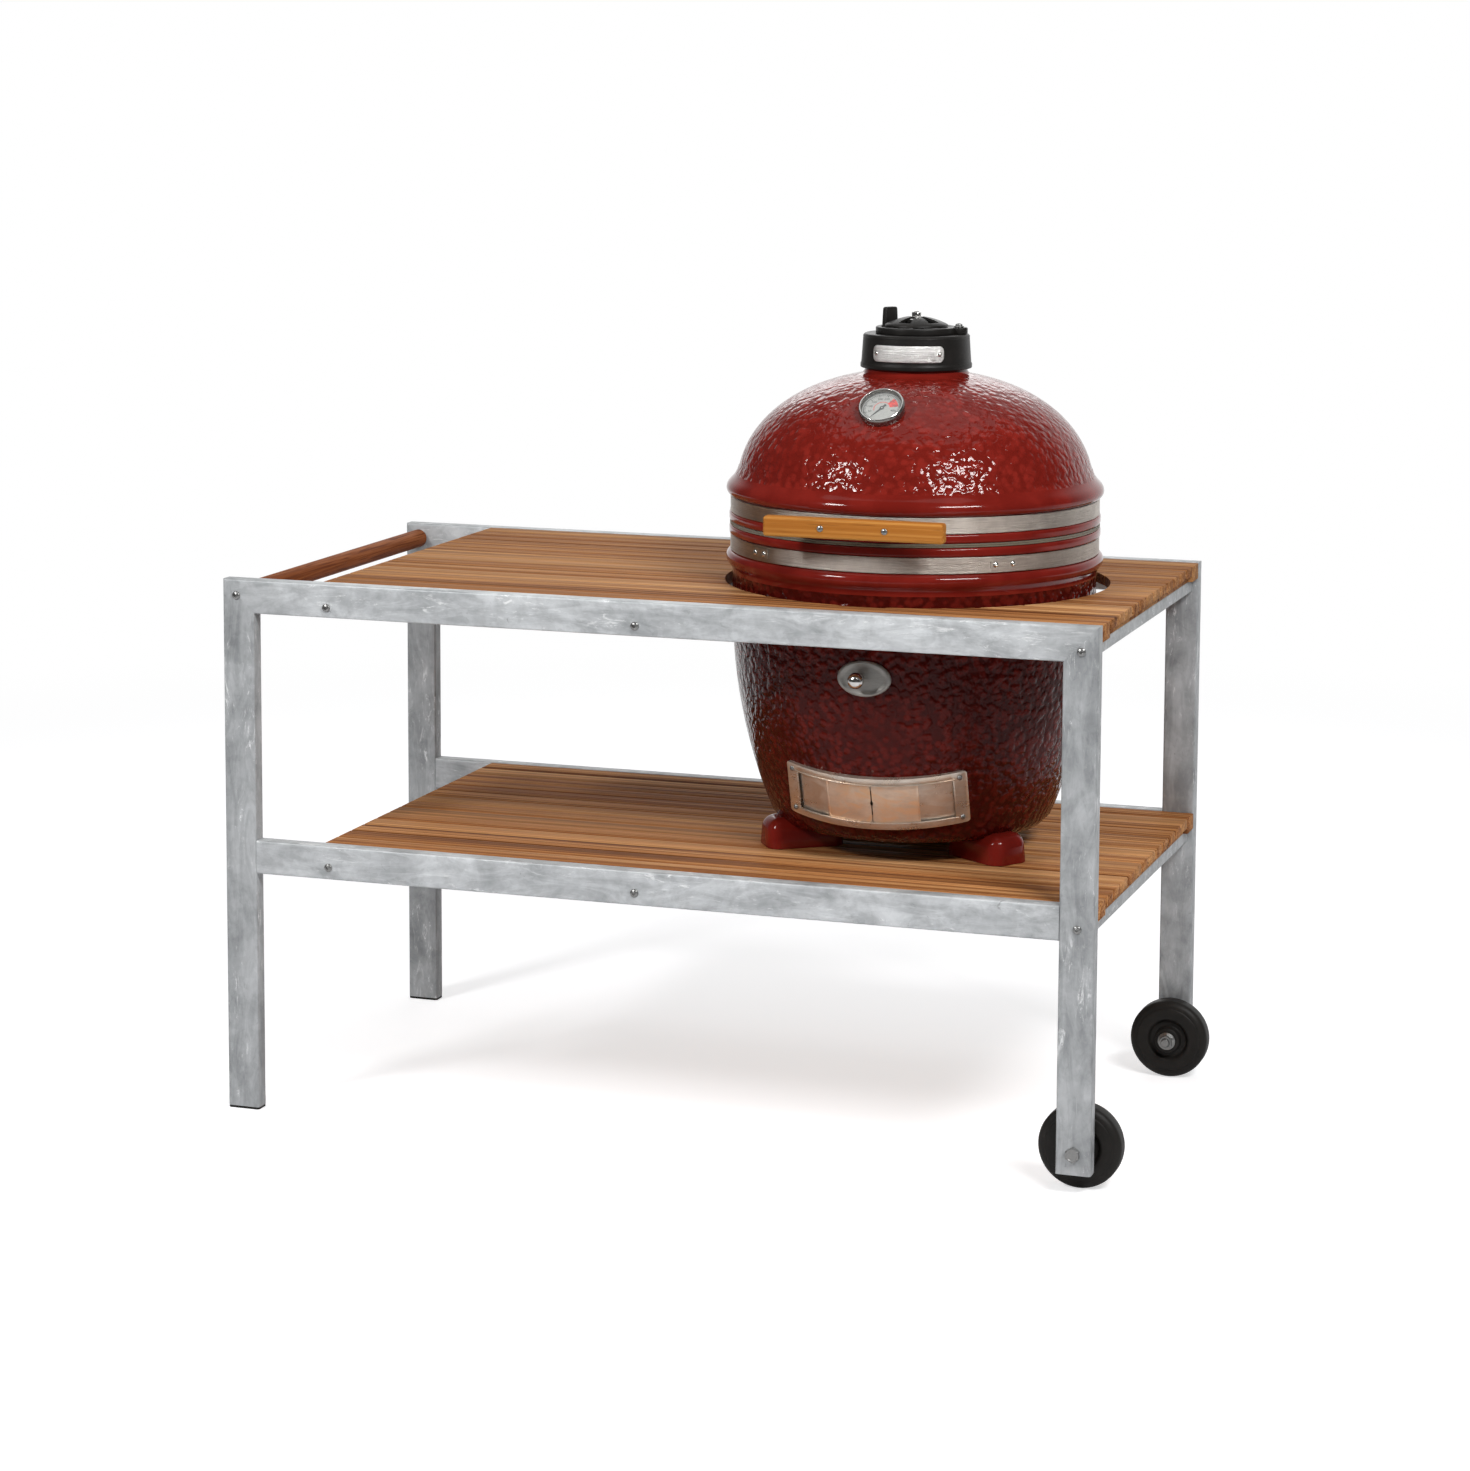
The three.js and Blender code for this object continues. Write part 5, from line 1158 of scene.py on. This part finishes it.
def dialCase():
    d = dial
    outer, well, high, base = d["case"], d["radius"] + 0.3, d["depth"], -d["sunk"]
    case = softened([
        (0, -d["stemLength"]), (d["stem"], -d["stemLength"], 1), (d["stem"], base), (d["base"], base),
        (outer - 1, 0), (outer, 3, 1), (outer, high - 3, 2), (outer - 1.8, high, 1.4),
        (d["radius"] + 1, high, 0.8), (well, high - 2), (well, d["floor"]), (0, d["floor"]),
    ], 4)
    piece("thermometer_bezel", lathe(case, 72, False), dialAt, rimSteel, "lid", ["thermometer_case"], 40)
    edge = [(0.2, -3), (1, 0.02), (2.4, 0.25), (3.4, -0.6), (2, -3)]
    ring = lathe(softened([(d["radius"] + out, high + up, 0.3) for out, up in edge]), 72)
    piece("thermometer_ring", ring, dialAt, polished, "lid", (), 40)


def dialFace():
    d = dial
    top, ticks = d["top"], d["ticks"]

    def around(share):
        return d["start"] + d["sweep"] * share

    face = gather(rod(d["radius"], d["floor"] + 0.3, top, 64), rod(1.2, top - 0.2, top + 1.3, 16))
    piece("thermometer_face", face, dialAt, dialWhite, "lid", ["thermometer_dial"])
    ink, wash = (top - 0.1, top + 0.12), (top - 0.1, top + 0.06)
    marks = []
    for i in range(ticks):
        inner, width = d["longTick"] if i % 5 == 0 else d["shortTick"]
        marks.append(dialMark(around(i / (ticks - 1)), inner, d["tickEnd"], width, *ink))
    marks.append(ringPart(d["tickEnd"], d["scaleEdge"], around(0), around(1), *ink))
    marks += [figure(str(50 * k), around(k / 8)) for k in range(1, 9)]
    piece("thermometer_scale", gather(*marks), dialAt, dialBlack, "lid")
    zones = []
    for inner, outer, start, end in (d["hotZone"], d["mildLine"]):
        zones.append(ringPart(inner, outer, around(start), around(end), *wash))
    piece("thermometer_hot_zone", gather(*zones), dialAt, dialRed, "lid")


def needleAndGlass():
    d = dial
    half, waist, tip = d["wide"] / 2, d["wide"] / 2 * 0.9, 0.25
    outline = [
        (-half, -d["tail"]), (half, -d["tail"]), (waist, 0), (tip, d["needle"]), (-tip, d["needle"]), (-waist, 0),
    ]
    hub = lathe(softened([(1.5, 0), (3.2, 0), (3.2, 0.8, 0.3), (1.5, 0.8)]), 24)
    pointer = gather(prism(outline, 0.5), hub)
    place = dialAt @ spot(0, 0, d["top"] + 0.3) @ turn(-d["start"], "Z")
    piece("thermometer_pointer", pointer, place, dialBlack, "needle", ["thermometer_needle"])
    low = d["top"] + d["glassGap"]
    crystal = [(0, low), (d["radius"], low)]
    for i in range(6):
        share = 1 - i / 5
        crystal.append((d["radius"] * share, low + d["glassEdge"] + d["glassRise"] * (1 - share**2)))
    glass = lathe(crystal, 64, False)
    piece("thermometer_crystal", glass, dialAt, clearGlass, "lid", ["thermometer_glass"])


dialCase()
dialFace()
needleAndGlass()
print("thermometer made")

# Draft door: everything is bent round one axis that leans out with the wall
draftAt = kamadoAt @ spot(0, -9.5702, 169.0516) @ turn(18, "X") @ turn(1.5, "Z")
draft = {
    "radius": 236.4, "height": 82, "angle": 34.5, "corner": 5, "window": 60, "windowAngle": 29.5, "windowCorner": 1.5,
    "sheet": 1.5, "gap": 0.9, "skirt": 14, "skirtWall": 1.5, "skirtDrop": 0.8, "port": 40, "portAngle": 14,
    "doorAngle": 17, "seam": 0.2, "doorHeight": 69.2, "pull": 9, "pullDepth": 1.5,
    "screw": (4.0, 2.6), "screwAngle": 31.8, "screwInset": 9,
}
folds = {"across": (3.2, 1.9), "upright": (1.9, 2.9), "round": 0.7, "hem": (2.2, 0.8), "hemRound": 0.3}


def arcLength(angle):
    return math.radians(angle) * draft["radius"]


def windowed(width, height, corner, holeWidth, holeHeight, holeCorner, thick):
    outer = prism(outlineBox(width, height, corner, 4), thick)
    inner = moved(prism(outlineBox(holeWidth, holeHeight, holeCorner, 3), thick + 2), spot(0, 0, -1))
    return carved(outer, inner)


# Bends a flat part round the door's axis, its back at a depth behind the front
def wrapped(bm, depth):
    return bent(moved(bm, spot(0, depth, 0) @ facingFront), lambda z: draft["radius"], 5)


def draftFrame():
    d = draft
    width, windowWidth, portWidth = (2 * arcLength(d[word]) for word in ("angle", "windowAngle", "portAngle"))
    height, corner, sheet, skirt, wall = d["height"], d["corner"], d["sheet"], d["skirt"], 2 * d["skirtWall"]
    front = windowed(width, height, corner, windowWidth, d["window"], d["windowCorner"], sheet)
    sides = windowed(width, height, corner, width - wall, height - wall, corner - 1, skirt)
    back = windowed(width - 2, height - 2, corner - 1, portWidth, d["port"], 1, sheet)
    parts = [wrapped(chamfer(front, 0.35, 2, 60), sheet), wrapped(sides, skirt + d["skirtDrop"])]
    parts.append(wrapped(back, 3 * sheet + 2 * d["gap"]))
    for side in (-1, 1):  # folded edges round the window
        across = slab(windowWidth + 6, *folds["across"], folds["round"])
        across = moved(across, spot(0, 0.2, side * (d["window"] / 2 + 0.6)))
        parts.append(bent(across, lambda z: d["radius"], 5))
        upright = slab(*folds["upright"], d["window"] + 2, folds["round"])
        parts.append(moved(upright, turn(side * d["windowAngle"], "Z") @ spot(0, 0.75 - d["radius"], 0)))
    piece("draft_door_surround", gather(*parts), draftAt, surroundSteel, "frame", ["draft_door_frame"], 40)
    high = height / 2 - d["screwInset"]
    places = [onRing(x * d["screwAngle"], d["radius"], z * high) for x in (-1, 1) for z in (-1, 1)]
    screws("draft_door_screws", d["screw"], places, draftAt, zinc, "frame")


def draftDoors():
    d = draft
    half, tip = d["doorHeight"] / 2, d["pull"] / 2
    inner, outer, notch = arcLength(d["seam"]), arcLength(d["doorAngle"]), arcLength(d["seam"]) + d["pullDepth"]
    hemWidth, hemDepth = folds["hem"]
    for side, word in ((-1, "left"), (1, "right")):
        corners = [
            (inner, -half), (outer, -half), (outer, half), (inner, half), (inner, tip), (notch, 0), (inner, -tip),
        ]
        outline = [(side * x, z) for x, z in corners][::side]
        sheet = chamfer(prism(outline, d["sheet"]), 0.25, 1, 60)
        hem = slab(hemWidth, d["doorHeight"] * 0.99, hemDepth, folds["hemRound"])
        hem = moved(hem, spot(side * (outer - 2), 0, d["sheet"] + 0.2))
        leaf = wrapped(gather(sheet, hem), 2 * d["sheet"] + d["gap"])
        node = f"{word}_draft_door"
        piece(node + "_leaf", leaf, draftAt, sheetSteel, node, [node], 40)


draftFrame()
draftDoors()
print("draft door made")

# Feeder cover on the front of the base
cover = {
    "width": 80, "height": 52, "seat": 269.3, "plug": 19, "plugLength": 44, "knobX": -6, "knob": 12, "neck": 5,
    "relief": ((0, 1.2), (24, 1.2), (29, 1.3), (31, 1.9), (33.5, 2.9), (35.5, 3.2), (37.5, 2.8), (39.3, 1.7)),
}


def feeder():
    c = cover
    half, length = c["width"] / 2, c["plugLength"]
    disc = lathe([*c["relief"], (half, 0.6), (half, 0.02), (0, 0.02)], 72, False)
    disc = moved(disc, Matrix.Diagonal((1, c["height"] / c["width"], 1, 1)))
    shaped = bent(moved(disc, facingFront), lambda z: c["seat"], 4)
    place = kamadoAt @ spot(feederAt["x"], 0, feederAt["z"])
    stub = lathe(softened([(0, 0), (c["plug"], 0), (c["plug"], -length, 1.5), (0, -length)]), 40, False)
    stub = moved(stub, spot(0, -c["seat"] + 0.2, 0) @ facingFront)
    piece("feeder_cover_plate", gather(shaped, stub), place, ovalSteel, "feeder", ["feeder_cover"], 40)
    neck, ball = c["neck"], c["knob"]
    knob = [(0, 0), (neck + 2.5, 0), (neck + 2.5, 1.6), (neck, 2.4), (neck, 6)]
    knob += arc(0, 6 + ball, ball, ball, -60, 90, 16)
    knobAt = place @ spot(c["knobX"], -c["seat"] - 1.2, 0) @ facingFront
    piece("feeder_ball", lathe(knob, 48, False), knobAt, polished, "feeder", ["feeder_knob"])


# Ceramic feet, trimmed where the base rests on them
paw = {"width": 68, "height": 43, "inner": 112, "outer": 229, "round": 19, "taper": 0.92, "sink": 0.3}
pawAngles = {"left": -56, "right": 56, "back": 180}


def pawMesh():
    p = paw
    long, tall = p["outer"] - p["inner"], p["height"]
    loaf = slab(p["width"], long, tall)
    for v in loaf.verts:
        if v.co.z > 0:
            v.co.x *= p["taper"]
            v.co.y *= (1 + p["taper"]) / 2
    rounded = [e for e in loaf.edges if max(v.co.z for v in e.verts) > 0]
    bmesh.ops.bevel(loaf, geom=rounded, offset=p["round"], segments=7, profile=0.5, affect="EDGES", clamp_overlap=True)
    loaf = moved(loaf, spot(0, -(p["inner"] + p["outer"]) / 2, tall / 2 + p["sink"]))
    bottom = (body["bottomRadius"], body["bottom"])
    inside = [(0, body["bottom"]), bottom, *bodyCurve(-p["sink"], 14)[1:8], (0, 110)]
    return carved(loaf, lathe(inside, 96, False))


def feet():
    for word, angle in pawAngles.items():
        node = f"{word}_kamado_foot"
        piece(node + "_glaze", pawMesh(), kamadoAt @ turn(angle, "Z"), evenGlaze, "frame", [node], 50)


feeder()
feet()
print("feeder and feet made")

# Inside the kamado
fire = {"low": 56.3, "top": 230, "throat": 125, "bottom": 165, "wide": 205, "wall": 18, "ledge": 135, "seat": 145}
fireRing = {"low": 230.3, "step": 48, "top": 422, "wide": 232}


def fireParts():
    f, r = fire, fireRing
    throat, opening, step = f["throat"], f["wide"] - f["wall"], r["low"] + r["step"]
    box = lathe(softened([
        (throat, f["low"], 1), (f["bottom"], f["low"], 2), (f["wide"], f["top"], 2), (opening, f["top"], 2),
        (f["seat"], f["ledge"], 1), (throat, f["ledge"], 2),
    ]), 96)
    box = carved(box, portCutter(-60.0, 280, 40, port["high"]))
    piece("fire_box_clay", box, kamadoAt, fireClay, "frame", ["fire_box"], 40)
    inner, wide = r["wide"] - f["wall"], r["wide"]
    sleeve = lathe(softened([
        (opening, r["low"], 1), (f["wide"], r["low"], 1), (wide, step, 6), (wide, r["top"], 3),
        (inner, r["top"], 3), (inner, step, 6),
    ]), 96)
    sleeve = carved(sleeve, feederBore(feederAt["bore"], 150, 290))
    piece("fire_ring_clay", sleeve, kamadoAt, fireClay, "frame", ["fire_ring"], 40)
    coat(grateIron, "charcoal_grate")
    coat(grateSteel, "cooking_grate")


fireParts()
print("inside made")

# Floor, light and camera
studio = {
    "ambient": 0.24, "floorGlow": 0.58, "floorTone": 0.76, "fadeStart": 2.2, "fadeEnd": 4.2, "dim": 0.06,
    "floorRadius": 9, "floorDrop": 0.0005, "floorWalls": (-0.2, 2.0), "worldWalls": (0.45, 0.95),
}
lamps = [
    {"name": "leftBox", "at": (-2.0, -3.15, 3.0), "to": (0.24, -0.24, 0.95), "size": (0.8, 0.7), "power": 80},
    {"name": "rightBox", "at": (2.6, -2.3, 3.2), "to": (0.40, -0.21, 0.97), "size": (1.5, 0.6), "power": 112},
    {"name": "overhead", "at": (0.0, 0.3, 3.9), "to": (0, 0, 0.4), "size": (3.4, 2.6), "power": 22},
    {"name": "backFill", "at": (-0.8, 3.2, 2.4), "to": (0, 0, 0.6), "size": (2.2, 1.6), "power": 15},
]
lens = {
    "at": (1.7552, -5.1955, 1.5926), "yaw": 18.652, "pitch": 6.756, "roll": 0.267,
    "focal": 3682.7, "shift": -260.0, "frameWidth": 1471,
}


# White for the camera; mirrors see white behind the object and dim walls in front of it
def whiteness(f, depth, start, end):
    walls = f.between(depth, start, end, studio["dim"], 1.0)
    seen = [f.node("LightPath", output=word) for word in ("Is Camera Ray", "Is Transmission Ray", "Is Glossy Ray")]
    direct = f.node("Math", {"operation": "MAXIMUM"}, {0: seen[0], 1: seen[1]})
    return direct + seen[2] * walls, 1 - direct - seen[2]


# A lit floor near the table that fades into plain white further out
def floorFinish():
    f = Finish("paleFloor", Roughness=1.0, Specular_IOR_Level=0.0)
    tone = studio["floorTone"]
    ends = (tone, tone, tone * 1.02), (tone * 0.99, tone * 0.99, tone * 1.01)
    f.wear(Base_Color=f.mix(*ends, f.noise(f.place, 3)))
    white = whiteness(f, f.node("SeparateXYZ", None, {0: f.place}, 1), *studio["floorWalls"])[0]
    glow = f.node("Emission", None, {"Color": (1, 1, 1, 1), "Strength": white * studio["floorGlow"]})
    lit = f.node("AddShader", None, {0: Wire(f.tree, f.shader.outputs[0]), 1: glow})
    bright = f.node("Emission", None, {"Color": (1, 1, 1, 1), "Strength": white})
    reach = f.node("VectorMath", {"operation": "LENGTH"}, {0: f.place}, "Value")
    fade = f.between(reach, studio["fadeStart"], studio["fadeEnd"])
    both = f.node("MixShader", None, {0: fade, 1: lit, 2: bright})
    plug(f.tree, f.tree.nodes["Material Output"].inputs["Surface"], both)
    return f.material


def addFloor():
    disc = lathe([(0, 0), (studio["floorRadius"], 0)], 96, False)
    mesh = bpy.data.meshes.new("floor")
    disc.to_mesh(mesh)
    disc.free()
    mesh.materials.append(floorFinish())
    thing = bpy.data.objects.new("floor", mesh)
    thing.location.z = -studio["floorDrop"]
    scene.collection.objects.link(thing)


def whiteWorld():
    world = bpy.data.worlds.new("studioWorld")
    scene.world = world
    world.use_nodes = True
    w = Nodes(world.node_tree)
    heading = w.node("SeparateXYZ", None, {0: w.node("TexCoord", output="Generated")}, 1)
    white, rest = whiteness(w, heading, *studio["worldWalls"])
    back = world.node_tree.nodes["Background"]
    back.inputs["Color"].default_value = (1, 1, 1, 1)
    plug(w.tree, back.inputs["Strength"], white + rest * studio["ambient"])


def addLamps():
    for lamp in lamps:
        data = bpy.data.lights.new(lamp["name"], "AREA")
        data.shape, data.size, data.size_y, data.energy = "RECTANGLE", *lamp["size"], lamp["power"]
        thing = bpy.data.objects.new(lamp["name"], data)
        thing.location = lamp["at"]
        aim = Vector(lamp["to"]) - Vector(lamp["at"])
        thing.rotation_euler = aim.to_track_quat("-Z", "Y").to_euler()
        scene.collection.objects.link(thing)


def addCamera():
    data = bpy.data.cameras.new("camera")
    thing = bpy.data.objects.new("camera", data)
    scene.collection.objects.link(thing)
    data.sensor_width = 36
    data.lens = lens["focal"] / lens["frameWidth"] * data.sensor_width
    data.shift_y = lens["shift"] / lens["frameWidth"]
    data.clip_end = 60
    thing.location = lens["at"]
    tilt = Matrix.Rotation(math.radians(90 - lens["pitch"]), 4, "X")
    heading = Matrix.Rotation(math.radians(lens["yaw"]), 4, "Z")
    thing.rotation_euler = (heading @ tilt @ Matrix.Rotation(math.radians(lens["roll"]), 4, "Z")).to_euler()
    scene.camera = thing


addFloor()
whiteWorld()
addLamps()
addCamera()
scene.view_settings.view_transform = "Standard"
print("studio made")
